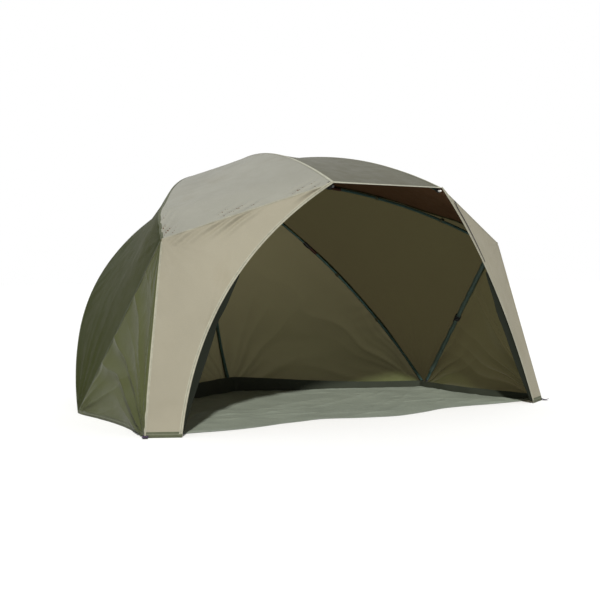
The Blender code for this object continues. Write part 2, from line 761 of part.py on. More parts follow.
def hem_run(inset, height, count=8):
    """The line inside the walls at the ground, from the left front foot round to the right one."""
    front = deep(FRONT_FOOT_X, FRONT_FOOT_SETBACK, 0)
    side_foot = deep(SIDE_FOOT_X, SIDE_FOOT_DEPTH, 0)
    rear = deep(0, REAR_FOOT_DEPTH, 0)
    corners = [mirrored(front, -1), mirrored(side_foot, -1), rear, side_foot, front]
    middle = deep(0, SIDE_FOOT_DEPTH * 0.5, 0)
    drawn = []
    for point in corners:
        drawn.append(point + (middle - point).normalized() * inset)
    run = []
    for one, two in zip(drawn, drawn[1:]):
        inward = (middle - (one + two) / 2).normalized()
        for step in range(count):
            share = step / count
            run.append(mix(one, two, share) + inward * (HEM_PULL * math.sin(math.pi * share)))
    run.append(drawn[-1])
    return [Vector((point.x, point.y, height)) for point in run]


def mud_strip():
    """Upright strip of cloth round the foot of the walls."""
    low = SHEET_THICKNESS + RUN_GAP
    rows = [hem_run(STRIP_INSET, low), hem_run(STRIP_INSET, low + STRIP_HEIGHT)]
    mesh = sheet_mesh(rows)
    thing = bpy.data.objects.new("strip", mesh)
    parts.objects.link(thing)
    thick = thing.modifiers.new("thick", "SOLIDIFY")
    thick.thickness = STRIP_THICKNESS
    thick.offset = 0
    place("mud_strip", baked(thing), "strip")


def groundsheet():
    """Flat sheet on the ground, its front edge bowed a little forwards."""
    outline = [(point.x, point.y) for point in hem_run(SHEET_INSET, 0)]
    right = outline[-1]
    left = outline[0]
    steps = 10
    for step in range(1, steps):
        share = step / steps
        bow = SHEET_FRONT_BULGE * math.sin(math.pi * share) + SHEET_FRONT_AHEAD
        ease = min(1, share * 4, (1 - share) * 4)
        outline.append((right[0] + (left[0] - right[0]) * share, right[1] - bow * ease))
    matrix = Matrix.Translation(Vector((0, 0, SHEET_THICKNESS / 2)))
    place("groundsheet", plate(outline, SHEET_THICKNESS, matrix), "sheet")


for one in RIBS.values():
    after_ferrule = rib_nodes(one)
    if one.name.startswith("side"):
        outer_pole(one, after_ferrule, 1 - (CORNER_BARREL_LENGTH / 2 + RUN_GAP) / one.pace(1))
    elif one.name.startswith("peak"):
        outer_pole(one, after_ferrule, 1 - CAP_END_LENGTH / one.pace(1))
        tip_start = one.at(1) - one.way(1) * (CAP_END_LENGTH - RUN_GAP)
        tip_profile = [(0, CAP_END_LENGTH), (CAP_END_RADIUS * 0.6, CAP_END_LENGTH),
                       (CAP_END_RADIUS, CAP_END_LENGTH * 0.7), (CAP_END_RADIUS, 0), (0, 0)]
        place("tip_" + one.name, turned(tip_profile, basis(tip_start, one.way(1), one.hinge)), "plastic")
    else:
        outer_pole(one, after_ferrule, 1 - (BALL_RADIUS + RUN_GAP) / one.pace(1))
foot("foot_rear", RIBS["centre"].tip)
crown()
for hand in SIDES:
    corner(hand)
crown_cap(canopy())
mud_strip()
groundsheet()
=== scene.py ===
"""Looks of the fishing umbrella shelter: cloth, hems, tapes, straps, materials, light and camera."""

import math

import bpy
import numpy as np
from mathutils import Matrix, Vector, noise


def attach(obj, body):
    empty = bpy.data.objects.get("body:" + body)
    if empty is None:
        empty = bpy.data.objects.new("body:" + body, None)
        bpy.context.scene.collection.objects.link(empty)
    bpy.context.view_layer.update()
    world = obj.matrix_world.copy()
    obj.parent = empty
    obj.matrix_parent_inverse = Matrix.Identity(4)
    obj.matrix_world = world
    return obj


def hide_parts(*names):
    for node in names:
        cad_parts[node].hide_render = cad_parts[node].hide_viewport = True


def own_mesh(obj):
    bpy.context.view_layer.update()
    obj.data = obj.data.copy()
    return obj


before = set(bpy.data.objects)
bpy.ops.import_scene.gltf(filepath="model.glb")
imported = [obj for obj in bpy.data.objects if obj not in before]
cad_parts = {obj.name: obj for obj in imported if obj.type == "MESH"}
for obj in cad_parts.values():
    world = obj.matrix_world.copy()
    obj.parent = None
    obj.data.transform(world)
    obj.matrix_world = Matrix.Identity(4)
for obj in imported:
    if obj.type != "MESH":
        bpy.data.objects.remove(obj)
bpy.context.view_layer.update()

# Lengths are in metres. Depths are measured behind the front line, heights from the ground.
FRONT_LINE_Y = -0.707
CROWN = np.array([0, FRONT_LINE_Y + 1.432, 1.242])
AXIS = np.array([0, math.sin(math.radians(45)), math.cos(math.radians(45))])
PIVOT_RADIUS = 0.045
SIDES = {"right": 1, "left": -1}

# Ribs as in the CAD: tip (x, depth, height), bow, how far outside the rib its seam lies,
# and the share of its length at which the seam comes out of the crown cap
RIB_FORMS = {
    "peak": ((0.325, -0.168, 1.116), 0.134, 0.018, 0.0155),
    "side": ((1.020, 0.190, 0.855), 0.137, 0.020, 0.0180),
    "rear": ((1.110, 0.900, 0.026), 0.297, 0.028, 0.0113),
    "centre": ((0, 1.350, 0.026), 0.142, 0.021, 0.0205),
}
FRONT_FOOT = (1.185, 0.015)
# From a rib's tip, and from the front foot, to the corner of the cloth
CORNER_SHIFTS = {
    "peak": (0, -0.010, 0),
    "side": (0.0215, -0.0205, 0.0150),
    "rear": (0.028, 0.021, -0.0245),
    "centre": (0, 0.027, -0.0245),
}
TOE_SHIFT = (0.027, -0.018, 0.0015)
# Last share of a seam, over which it bends to its corner
CORNER_EASE_SHARE = 0.2
# The side ribs' mid joints push the cloth out
SHOULDER_SHARE = 0.86
SHOULDER_SPREAD = 0.09
SHOULDER_RISE = 0.022

# Opening: its foot (x, depth, height), the bulge of its edge, and where the outer edge turns at the knuckle
OPENING_FOOT = (1.068, -0.080, 0.0015)
OPENING_BULGE = 0.160
KNEE_SHARE = 0.5

# Panels: rows and columns of their grids, and how far their middles sag
PANEL_FORMS = {
    "peak": (110, 44, 0.016),
    "roof": (130, 84, 0.003),
    "side": (130, 90, 0.026),
    "wall": (110, 90, 0.035),
    "lower": (140, 110, 0.015),
    "front": (150, 50, 0),
}
# How far a hem on the ground is drawn in at its middle
HEM_PULL = 0.045
GROUND_CLEARANCE = 0.0018
# Creases and puckers die out this close to a seam, and in this share of a panel at its ends
SEAM_HOLD = 0.012
END_HOLD_SHARE = 0.02

# Puckers: size and strength of their wander, and size of the patches they come in
WANDER_SIZE = 0.16
WANDER = 2.2
EVEN_SIZE = 0.11
PATCH_SIZE = 0.20
# Creases: ranges of their reach, angular width and height, and the trough beside each
CREASE_REACHES = (0.55, 1.25)
CREASE_WIDTHS = (0.045, 0.095)
CREASE_HEIGHTS = (0.5, 1.0)
CREASE_BEND = 0.10
CREASE_BEND_SIZE = 0.25
TROUGH_SHARE = 0.4
TROUGH_SHIFT = 2.2
TROUGH_SPREAD = 1.6

# Tapes lie over a seam, hems close a free edge
TAPE_WIDTH = 0.018
TAPE_WIDTHS = {"peak": 0.014, "brace": 0.008, "leg": 0.012, "front": 0.008}
TAPE_LIFT = 0.0012
HEM_WIDTH = 0.024
HEM_WIDTHS = {"opening": 0.014, "peak": 0.016, "sheet": 0.022}
HEM_HALF = 0.0011
HEM_LOWEST = 0.0006
LINING_GAP = 0.0012


def unit(vector):
    return vector / np.maximum(np.linalg.norm(vector, axis=-1, keepdims=True), 1e-12)


def spot(x, depth, height):
    """A point given by its distance behind the front line."""
    return np.array([x, FRONT_LINE_Y + depth, height], float)


def turned(shift, side):
    """A shift on the right, or its mirror image on the left."""
    return np.array(shift, float) * (side, 1, 1)


class Rib:
    """A bowed rib and the seam of the cloth over it."""

    def __init__(self, kind, side=1):
        (x, depth, height), self.bow, self.seam_out, self.start = RIB_FORMS[kind]
        self.tip = spot(x * side, depth, height)
        arm = self.tip - CROWN
        self.pivot = CROWN + unit(arm - AXIS * arm.dot(AXIS)) * PIVOT_RADIUS
        self.chord = self.tip - self.pivot
        along = unit(self.chord)
        self.out = unit(AXIS - along * AXIS.dot(along))
        self.hinge = np.cross(along, self.out)
        self.shoulder = SHOULDER_RISE if kind == "side" else 0.0
        self.corner = self.tip + turned(CORNER_SHIFTS[kind], side)
        if kind == "peak":
            self.corner = self.corner + self.out * self.seam_out

    def at(self, share):
        share = np.asarray(share, float)[..., None]
        return self.pivot + self.chord * share + self.out * (4 * self.bow * share * (1 - share))

    def seam(self, share):
        share = np.asarray(share, float)
        ease = np.clip((share - 1 + CORNER_EASE_SHARE) / CORNER_EASE_SHARE, 0, None)[..., None]
        shift = self.corner - self.tip - self.out * self.seam_out
        tent = np.exp(-((share - SHOULDER_SHARE) / SHOULDER_SPREAD) ** 2)[..., None]
        return self.at(share) + self.out * (self.seam_out + self.shoulder * tent) + shift * ease


def make_ribs():
    """All seven ribs by name, and where the cloth meets the ground at the front feet."""
    ribs = {"centre": Rib("centre")}
    toes = {}
    for word, side in SIDES.items():
        for kind in ("peak", "side", "rear"):
            ribs[kind + "_" + word] = Rib(kind, side)
        toes[word] = spot(FRONT_FOOT[0] * side, FRONT_FOOT[1], 0) + turned(TOE_SHIFT, side)
    return ribs, toes


RIBS, TOES = make_ribs()
INSIDE = spot(0, 0.630, 0.4275)


def corners_of(word):
    """Corners of the cloth at the knuckle, the rear-side foot and the front foot."""
    return RIBS["side_" + word].corner, RIBS["rear_" + word].corner, TOES[word]


def blend_points(one, two, share):
    return one * (1 - share) + two * share


def straight(one, two):
    """A seam that runs straight between two points."""
    def line(share):
        return blend_points(one, two, np.asarray(share, float)[..., None])
    return line


def opening_line(word):
    """Free edge of the opening from the peak's corner to the ground."""
    top = RIBS["peak_" + word].corner
    foot = spot(OPENING_FOOT[0] * SIDES[word], *OPENING_FOOT[1:])
    out = RIBS["side_" + word].corner - (top + foot) / 2
    chord = foot - top
    out = unit(out - chord * out.dot(chord) / chord.dot(chord))

    def line(share):
        share = np.asarray(share, float)[..., None]
        return blend_points(top, foot, share) + out * (OPENING_BULGE * 4 * share * (1 - share))
    return line


def outer_line(word):
    """Along the roof seam to the knuckle, then down the leg."""
    top = RIBS["peak_" + word].corner
    knee, _, toe = corners_of(word)

    def line(share):
        share = np.asarray(share, float)[..., None]
        first = top + (knee - top) * (share / KNEE_SHARE)
        second = knee + (toe - knee) * ((share - KNEE_SHARE) / (1 - KNEE_SHARE))
        return np.where(share < KNEE_SHARE, first, second)
    return line


def noise_at(points, size, seed):
    """Smooth noise from -1 to 1 over an array of points."""
    flat = points.reshape(-1, 3) / size + seed * 7.31
    values = np.array([noise.noise(Vector(p)) for p in flat])
    return values.reshape(points.shape[:-1])


def run_length(points):
    """Distance along a line of points, from its first one."""
    return np.concatenate([[0], np.cumsum(np.linalg.norm(np.diff(points, axis=0), axis=-1))])


def grid_normals(points):
    """Unit normals of a grid, turned away from the shelter's inside."""
    normals = unit(np.cross(np.gradient(points, axis=0), np.gradient(points, axis=1)))
    if (normals * (points - INSIDE)).sum() < 0:
        normals = -normals
    return normals


class Gore:
    """A panel of cloth between two seams, as a grid of points."""

    def __init__(self, kind, one, two, starts=(0, 0), pull=0.0):
        rows, columns, sag = PANEL_FORMS[kind]
        self.u = np.linspace(0, 1, rows + 1)
        self.v = np.linspace(0, 1, columns + 1)
        first, last = (line(start + (1 - start) * self.u) for line, start in zip((one, two), starts))
        points = blend_points(first[:, None], last[:, None], self.v[None, :, None])
        inward = unit(INSIDE - (first + last) / 2)
        droop = np.sin(math.pi * self.v)[None, :]
        depth = sag * droop * np.sin(math.pi * self.u)[:, None] ** 0.8
        depth = depth + pull * droop * self.u[:, None] ** 3
        self.points = points + inward[:, None] * depth[..., None]
        self.flat = self.points.copy()
        width = np.linalg.norm(last - first, axis=-1)[:, None]
        self.from_one = self.v[None, :] * width
        self.from_two = (1 - self.v)[None, :] * width
        self.along = run_length(first)[:, None] + 0 * self.from_one
        self.height = np.zeros(self.from_one.shape)

    def ripple(self, distance, reach, pitch, height, seed, along=None, patchy=0.0, slant=0.0):
        """Short puckers beside a seam, fading away from it, in patches and slanted if asked."""
        run = (self.along if along is None else along) + slant * distance
        wander = noise_at(self.flat, WANDER_SIZE, seed) * WANDER
        if patchy:
            strength = np.clip(noise_at(self.flat, PATCH_SIZE, seed + 3) * 2.2 + 0.5 - patchy, 0, 1)
        else:
            strength = 0.55 + 0.45 * noise_at(self.flat, EVEN_SIZE, seed + 3)
        wave = np.sin(2 * math.pi * run / pitch + wander)
        fade = (distance / reach) * np.exp(1 - distance / reach)
        self.height += height * wave * fade * strength

    def creases(self, corner, folds, height, reach, seed, spread=math.pi / 2):
        """Sharp tension creases that run out of a corner."""
        arm = self.flat - corner
        far = np.linalg.norm(arm, axis=-1)
        middle = unit(self.flat.mean((0, 1)) - corner)
        side = np.cross(unit(grid_normals(self.flat).mean((0, 1))), middle)
        angle = np.arctan2(arm @ side, arm @ middle)
        angle += CREASE_BEND * noise_at(self.flat, CREASE_BEND_SIZE, seed)
        chance = np.random.default_rng(seed)
        for number in range(folds):
            centre = spread * ((number + 0.5 + chance.uniform(-0.3, 0.3)) / folds - 0.5)
            length = reach * chance.uniform(*CREASE_REACHES)
            width = chance.uniform(*CREASE_WIDTHS)
            tall = height * chance.uniform(*CREASE_HEIGHTS)
            fade = (far / length) * np.exp(1 - far / length)
            self.height += tall * fade * np.exp(-np.abs(angle - centre) / width)
            aside = (angle - centre - TROUGH_SHIFT * width) / (TROUGH_SPREAD * width)
            self.height -= TROUGH_SHARE * tall * fade * np.exp(-aside ** 2)

    def drift(self, size, height, seed):
        """Slow unevenness of cloth under light tension."""
        self.height += height * noise_at(self.flat, size, seed)

    def fold_line(self, start, end, width, height):
        """One soft ridge along a straight line across the panel."""
        line = end - start
        share = np.clip(((self.flat - start) @ line) / line.dot(line), 0, 1)
        gap = np.linalg.norm(self.flat - (start + share[..., None] * line), axis=-1)
        self.height += height * np.exp(-(gap / width) ** 2) * np.sin(math.pi * np.clip(share, 0.02, 1)) ** 0.5

    def finish(self, on_ground=False):
        """Move the grid by its heights, held at its seams, and at its end unless that lies on the ground."""
        hold = np.minimum(1, self.from_one / SEAM_HOLD) * np.minimum(1, self.from_two / SEAM_HOLD)
        rows = self.u[:, None]
        if not on_ground:
            hold = hold * np.minimum(1, (1 - rows) / END_HOLD_SHARE)
        hold = hold * np.minimum(1, rows / END_HOLD_SHARE)
        self.points = self.flat + grid_normals(self.flat) * (self.height * hold)[..., None]
        if on_ground:
            rise = self.points[-1, :, 2] - GROUND_CLEARANCE
            self.points[..., 2] -= rise[None, :] * rows ** 4
        self.points[..., 2] = np.maximum(self.points[..., 2], GROUND_CLEARANCE)
        self.normals = grid_normals(self.points)
        return self

    def half(self, first):
        """The columns up to the middle, or from it."""
        middle = len(self.v) // 2
        cut = slice(0, middle + 1) if first else slice(middle, None)
        across = self.from_one if first else self.from_two
        return self.points[:, cut], self.normals[:, cut], across[:, cut], self.along[:, cut]

    def whole(self):
        return self.points, self.normals, self.from_one, self.along


# Meshes


def new_mesh(name, points, faces, marks=None):
    """A smooth mesh, with a UV map in metres where its points have marks."""
    mesh = bpy.data.meshes.new(name)
    mesh.from_pydata(points, [], faces)
    if marks:
        uv = mesh.uv_layers.new(name="metres")
        for loop in mesh.loops:
            uv.data[loop.index].uv = marks[loop.vertex_index]
    mesh.shade_smooth()
    return mesh


def mesh_from_grids(name, grids):
    """One mesh out of several grids, with their own normals."""
    points, faces, normals, marks = [], [], [], []
    for grid, normal, across, along in grids:
        rows, columns = grid.shape[:2]
        base = len(points)
        points.extend(grid.reshape(-1, 3).tolist())
        normals.extend(normal.reshape(-1, 3).tolist())
        marks.extend(np.stack([across, along], -1).reshape(-1, 2).tolist())
        row, column = (rows - 1) // 2, columns // 2
        here = grid[row, column]
        up = np.cross(grid[row + 1, column] - here, here - grid[row, column - 1])
        flip = float(np.dot(up, normal[row, column])) < 0
        for row in range(rows - 1):
            for column in range(columns - 1):
                a = base + row * columns + column
                quad = (a, a + columns, a + columns + 1, a + 1)
                faces.append(quad[::-1] if flip else quad)
    mesh = new_mesh(name, points, faces, marks)
    mesh.normals_split_custom_set_from_vertices(normals)
    return mesh


def skin(count, around):
    """Faces round a tube of cross-sections."""
    faces = []
    for row in range(count - 1):
        for column in range(around):
            a = row * around + column
            b = row * around + (column + 1) % around
            faces.append((a, b, b + around, a + around))
    return faces


def strip_mesh(name, sections):
    """A solid band through closed cross-sections."""
    sections = np.asarray(sections, float)
    count, around = sections.shape[:2]
    faces = skin(count, around)
    faces.append(tuple(range(around))[::-1])
    faces.append(tuple((count - 1) * around + column for column in range(around)))
    across = [min(column, around - column) / (around // 2) for column in range(around)]
    marks = [(aside, run) for run in run_length(sections.mean(1)) for aside in across]
    mesh = new_mesh(name, sections.reshape(-1, 3).tolist(), faces, marks)
    mesh.set_sharp_from_angle(angle=math.radians(50))
    return mesh


def ribbon(path, across, up, form):
    """Cross-sections along a path, from a form's places across and above it."""
    return np.stack([path + across * aside + up * above for aside, above in form], axis=1)


def band_form(half, thick, middle, under):
    """Cross-section of a flat band: half its width, its height at the edges and the middle, and below."""
    return [(-half, 0), (-half, thick), (0, middle), (half, thick), (half, 0), (0, -under)]


def place(name, data):
    """Link an object to the scene."""
    thing = bpy.data.objects.new(name, data)
    bpy.context.scene.collection.objects.link(thing)
    return thing


def add(name, mesh, kind, body=None):
    """Add a mesh as a piece of one material that rides on a body."""
    thing = place(name, mesh)
    mesh.materials.clear()
    mesh.materials.append(MATERIALS[kind])
    if body:
        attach(thing, body)
    return thing


def band(name, sections, kind, body, rule=None, lowest=None):
    """Add a solid band, kept above a height, with its own copy of its mesh where it has a rule."""
    if lowest is not None:
        sections[..., 2] = np.maximum(sections[..., 2], lowest)
    thing = add(name, strip_mesh(name, sections), kind, body)
    if rule:
        gather(thing)
    return thing


# Shader building


def scaled(colour, factor):
    return tuple(part * factor for part in colour)


def put(tree, socket, value):
    """Set a socket to a number or a colour, or link another node's output to it."""
    if isinstance(value, (int, float)):
        socket.default_value = value
    elif isinstance(value, tuple):
        socket.default_value = (*value, 1)
    elif value is not None:
        tree.links.new(value, socket)


def new_node(tree, kind, values, output=0, **settings):
    """One output of a new node, whose sockets are given by name or number."""
    node = tree.nodes.new("ShaderNode" + kind)
    for name, value in settings.items():
        setattr(node, name, value)
    for key, value in values.items():
        put(tree, node.inputs[key], value)
    return node.outputs[output]


class Shader:
    """A Principled material and short ways to add nodes to it."""

    def __init__(self, name, roughness, metallic=0.0, specular=None):
        self.material = bpy.data.materials.new(name)
        self.material.use_nodes = True
        self.tree = self.material.node_tree
        self.main = self.tree.nodes["Principled BSDF"]
        self.fill({"Roughness": roughness, "Metallic": metallic, "Specular IOR Level": specular})
        self.coords = self.tree.nodes.new("ShaderNodeTexCoord").outputs

    def fill(self, values):
        for name, value in values.items():
            put(self.tree, self.main.inputs[name], value)

    def noise(self, scale, detail=3.0, roughness=0.5):
        values = {"Scale": scale, "Detail": detail, "Roughness": roughness, "Vector": self.coords["Object"]}
        return new_node(self.tree, "TexNoise", values)

    def wave(self, scale, direction):
        values = {"Scale": scale, "Vector": self.coords["UV"]}
        return new_node(self.tree, "TexWave", values, "Fac", bands_direction=direction)

    def math(self, kind, one, two=0):
        return new_node(self.tree, "Math", {0: one, 1: two}, operation=kind)

    def ramp(self, factor, first, last):
        """Colours between two stops, each a place and a colour."""
        node = self.tree.nodes.new("ShaderNodeValToRGB")
        for element, (stop, colour) in zip(node.color_ramp.elements, (first, last)):
            element.position = stop
            element.color = (*colour, 1)
        put(self.tree, node.inputs["Fac"], factor)
        return node.outputs["Color"]

    def tone(self, scale, detail, low, high, colour=(1, 1, 1)):
        """Noise between two shades of a colour."""
        return self.ramp(self.noise(scale, detail), (0.3, scaled(colour, low)), (0.7, scaled(colour, high)))

    def mix(self, factor, one, two, kind="MIX"):
        values = {0: factor, 6: one, 7: two}
        return new_node(self.tree, "Mix", values, 2, data_type="RGBA", blend_type=kind)

    def times(self, one, two):
        return self.mix(1.0, one, two, "MULTIPLY")

    def bump(self, height, distance, under=None):
        values = {"Distance": distance, "Strength": 1.0, "Height": height, "Normal": under}
        return new_node(self.tree, "Bump", values)

    def let_through(self, colour, share):
        """Mix in light that comes through thin cloth from its other side."""
        glow = new_node(self.tree, "BsdfTranslucent", {"Color": colour})
        mixed = new_node(self.tree, "MixShader", {0: share, 1: self.main.outputs[0], 2: glow})
        put(self.tree, self.tree.nodes["Material Output"].inputs["Surface"], mixed)

    def done(self, colour, normal=None, roughness=None):
        self.fill({"Base Color": colour, "Normal": normal, "Roughness": roughness})
        return self.material


def cloth_material(name, colour, glow, roughness, thin, shine, crumple=0.0008):
    """Coated woven nylon: fine weave, soft crumple, uneven tone, and a little light let through."""
    shader = Shader(name, roughness, specular=shine)
    paint = shader.times(shader.tone(2.2, 4, 0.93, 1.07, colour),
                         shader.ramp(shader.noise(900, 2), (0.35, (0.90,) * 3), (0.65, (1.06,) * 3)))
    soil = shader.ramp(shader.noise(5.5, 5), (0.54, (1, 1, 1)), (0.80, (0.92, 0.90, 0.86)))
    threads = shader.math("MULTIPLY", shader.wave(260, "X"), shader.wave(260, "Y"))
    normal = shader.bump(shader.noise(26, 5, 0.6), crumple, shader.bump(threads, 0.00012))
    shader.let_through(glow, thin)
    paint = shader.times(paint, soil)
    return shader.done(paint, normal, shader.tone(14, 3, roughness - 0.05, roughness + 0.06))


def webbing_material(name, colour, stitch):
    """Folded tape with a rib weave and two rows of stitches."""
    shader = Shader(name, 0.6, specular=0.2)
    split = shader.tree.nodes.new("ShaderNodeSeparateXYZ")
    put(shader.tree, split.inputs[0], shader.coords["UV"])
    rows = []
    for centre in (0.22, 0.78):
        away = shader.math("ABSOLUTE", shader.math("SUBTRACT", split.outputs["X"], centre))
        rows.append(shader.math("LESS_THAN", away, 0.045))
    stitches = shader.math("FRACT", shader.math("MULTIPLY", split.outputs["Y"], 260))
    thread = shader.math("MULTIPLY", shader.math("ADD", *rows), shader.math("GREATER_THAN", stitches, 0.35))
    paint = shader.mix(thread, shader.tone(60, 3, 0.88, 1.12, colour), stitch)
    normal = shader.bump(thread, 0.0004, shader.bump(shader.wave(240, "Y"), 0.0001))
    return shader.done(paint, normal)


def pole_material(name, colour, worn):
    """Anodised tube with fine draw lines and rubbed patches."""
    shader = Shader(name, 0.38, 0.55)
    rubbed = shader.math("GREATER_THAN", shader.noise(16, 6, 0.7), 0.66)
    paint = shader.times(shader.mix(rubbed, colour, worn), shader.tone(90, 3, 0.85, 1.12))
    return shader.done(paint, shader.bump(shader.noise(700, 2), 0.00008), shader.tone(40, 4, 0.30, 0.48))


def plastic_material(name, colour, roughness=0.45):
    """Moulded plastic with a fine grain and scuffs."""
    shader = Shader(name, roughness)
    scuff = shader.ramp(shader.noise(35, 6, 0.75), (0.62, (1, 1, 1)), (0.74, (1.9, 1.9, 1.85)))
    paint = shader.times(shader.tone(50, 2, 0.9, 1.1, colour), scuff)
    normal = shader.bump(shader.noise(1400, 2), 0.00012)
    return shader.done(paint, normal, shader.tone(30, 3, roughness - 0.08, roughness + 0.12))


def steel_material(name, colour):
    """Plain bright steel with brushed lines."""
    shader = Shader(name, 0.3, 1.0)
    return shader.done(shader.tone(120, 3, 0.85, 1.08, colour), shader.bump(shader.noise(800, 2), 0.00006))


def sheet_material(name, colour):
    """Reinforced groundsheet: a coated weave with a fine square grid."""
    shader = Shader(name, 0.6, specular=0.15)
    grid = shader.math("MAXIMUM", shader.wave(52, "X"), shader.wave(52, "Y"))
    lines = shader.ramp(grid, (0.86, (1, 1, 1)), (0.97, (0.90, 0.91, 0.90)))
    paint = shader.times(shader.tone(3.2, 5, 0.86, 1.12, colour), lines)
    paint = shader.times(paint, shader.tone(160, 4, 0.86, 1.1))
    return shader.done(paint, shader.bump(shader.noise(18, 6, 0.65), 0.004, shader.bump(grid, 0.0002)))


# One olive cloth in lit and shaded copies: the front and roof colours are lightened to paint sheen, the side
# colour is darkened to paint shade, the peak and lower colours sit between, and the rear takes the side
# colour ×2.4 with a brighter let-through colour to paint bounce light inside the rear wall
OLIVE_FRONT_PAINTED_SHEEN = (0.262, 0.242, 0.182)
OLIVE_ROOF_PAINTED_SHEEN = (0.265, 0.262, 0.222)
OLIVE_PEAK_PAINTED_LIGHT = (0.109, 0.107, 0.079)
OLIVE_SIDE_PAINTED_SHADE = (0.034, 0.041, 0.014)
OLIVE_LOWER_PAINTED_LIGHT = (0.066, 0.075, 0.028)
BROWN_GLOW = (0.20, 0.095, 0.040)
OLIVE_GLOW = (0.28, 0.230, 0.115)
REAR_GLOW_PAINTED_LIGHT = (0.42, 0.355, 0.20)
# After the colours: roughness, share of light let through, shine, and the crumple's depth where it differs
MATERIALS = {
    # The panel cloths below are lit and shaded copies of one cloth: painted sheen, shade and bounce light
    "roof": cloth_material("roof_cloth", OLIVE_ROOF_PAINTED_SHEEN, BROWN_GLOW, 0.5, 0.08, 0.15),
    "peak": cloth_material("peak_cloth", OLIVE_PEAK_PAINTED_LIGHT, BROWN_GLOW, 0.5, 0.08, 0.08),
    "front": cloth_material("front_cloth", OLIVE_FRONT_PAINTED_SHEEN, OLIVE_GLOW, 0.55, 0.12, 0.12),
    "side": cloth_material("side_cloth", OLIVE_SIDE_PAINTED_SHADE, OLIVE_GLOW, 0.50, 0.17, 0.02),
    "rear": cloth_material("rear_cloth", scaled(OLIVE_SIDE_PAINTED_SHADE, 2.4), REAR_GLOW_PAINTED_LIGHT, 0.50, 0.21, 0.08),
    "lower": cloth_material("lower_cloth", OLIVE_LOWER_PAINTED_LIGHT, OLIVE_GLOW, 0.36, 0.18, 0.14, 0.0005),
    # Dark-brown inner layer under the roof and peak: painted shade on their underside
    "lining": cloth_material("roof_lining", (0.090, 0.047, 0.024), BROWN_GLOW, 0.6, 0.07, 0.05),
    "tape": webbing_material("seam_tape", (0.060, 0.066, 0.036), (0.14, 0.145, 0.10)),
    "hem": webbing_material("opening_hem", (0.27, 0.26, 0.20), (0.13, 0.125, 0.09)),
    "pale_tape": webbing_material("pale_binding", (0.34, 0.335, 0.27), (0.20, 0.20, 0.155)),
    "black_tape": webbing_material("black_webbing", (0.014, 0.014, 0.015), (0.10, 0.10, 0.10)),
    "violet_tape": webbing_material("foot_webbing", (0.035, 0.022, 0.045), (0.12, 0.10, 0.14)),
    # Near-black facing: painted shade inside the lower opening edges
    "facing": cloth_material("painted_shade_facing", (0.010, 0.012, 0.008), OLIVE_GLOW, 0.7, 0.01, 0.08),
    "sleeve": cloth_material("brace_sleeve", (0.070, 0.108, 0.092), OLIVE_GLOW, 0.45, 0.03, 0.3),
    "strip": cloth_material("mud_strip_cloth", (0.036, 0.041, 0.030), OLIVE_GLOW, 0.7, 0.05, 0.05, 0.002),
    "sheet": sheet_material("groundsheet_cloth", (0.235, 0.262, 0.215)),
    "sheet_hem": webbing_material("groundsheet_hem", (0.20, 0.225, 0.185), (0.30, 0.32, 0.28)),
    "pole": pole_material("pole_green", (0.050, 0.105, 0.095), (0.16, 0.24, 0.21)),
    "plastic": plastic_material("black_plastic", (0.014, 0.014, 0.014)),
    "ferrule": pole_material("brown_ferrule", (0.06, 0.022, 0.015), (0.12, 0.07, 0.05)),
    "steel": steel_material("bright_steel", (0.55, 0.55, 0.53)),
    "pale_plastic": plastic_material("pale_toggle", (0.62, 0.62, 0.58), 0.4),
}


def dress_frame():
    """Give the CAD's hard nodes their materials and smooth shading."""
    for name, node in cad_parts.items():
        if name.startswith(("rib_", "leg_", "brace_left", "brace_right")):
            kind = "pole"
        elif name.startswith("ferrule"):
            kind = "ferrule"
        elif name in ("crown_ring", "crown_rivet"):
            kind = "steel"
        else:
            kind = "plastic"
        node.data.materials.clear()
        node.data.materials.append(MATERIALS[kind])
        node.data.shade_smooth()
        node.data.set_sharp_from_angle(angle=math.radians(38))


# Cloth of the canopy


def rib_gore(kind, one, two, pull=0.0):
    """A panel between two ribs, from the crown cap outwards."""
    return Gore(kind, one.seam, two.seam, (one.start, two.start), pull)


def make_roof(word, seed):
    """Roof panel, puckered along the front edge and at the knuckle."""
    ridge = RIBS["side_" + word]
    roof = rib_gore("roof", RIBS["peak_" + word], ridge)
    roof.drift(0.30, 0.003, seed + 1)
    roof.ripple(roof.from_one, 0.03, 0.070, 0.0006, seed + 2)
    roof.ripple(roof.from_two, 0.05, 0.055, 0.0014, seed + 3, patchy=0.3)
    from_end = (1 - roof.u)[:, None]
    front_edge = from_end * roof.along[-1, 0] + 0 * roof.from_one
    roof.ripple(front_edge, 0.026, 0.110, 0.0075, seed + 4, roof.from_one, 0.25, 2.6)
    roof.ripple(front_edge, 0.014, 0.050, 0.0020, seed + 14, roof.from_one, 0.1, 1.6)
    before = roof.height.copy()
    roof.ripple(roof.from_two, 0.022, 0.085, 0.0085, seed + 34, slant=2.0)
    roof.height = before + (roof.height - before) * np.exp(-(from_end / 0.16) ** 2)
    roof.creases(ridge.corner, 7, 0.0040, 0.07, seed + 5)
    return roof.finish()


def make_side(word, seed):
    """Side panel, creased at the knuckle and at the rear-side foot."""
    ridge, rear = RIBS["side_" + word], RIBS["rear_" + word]
    side = rib_gore("side", ridge, rear)
    side.drift(0.28, 0.005, seed + 6)
    side.drift(0.09, 0.0009, seed + 26)
    side.creases(ridge.corner, 10, 0.0050, 0.10, seed + 7)
    side.creases(rear.corner, 9, 0.0110, 0.16, seed + 8)
    side.ripple(side.from_one, 0.04, 0.085, 0.0010, seed + 9, patchy=0.2)
    side.ripple(side.from_two, 0.05, 0.090, 0.0014, seed + 10, patchy=0.2)
    return side.finish()


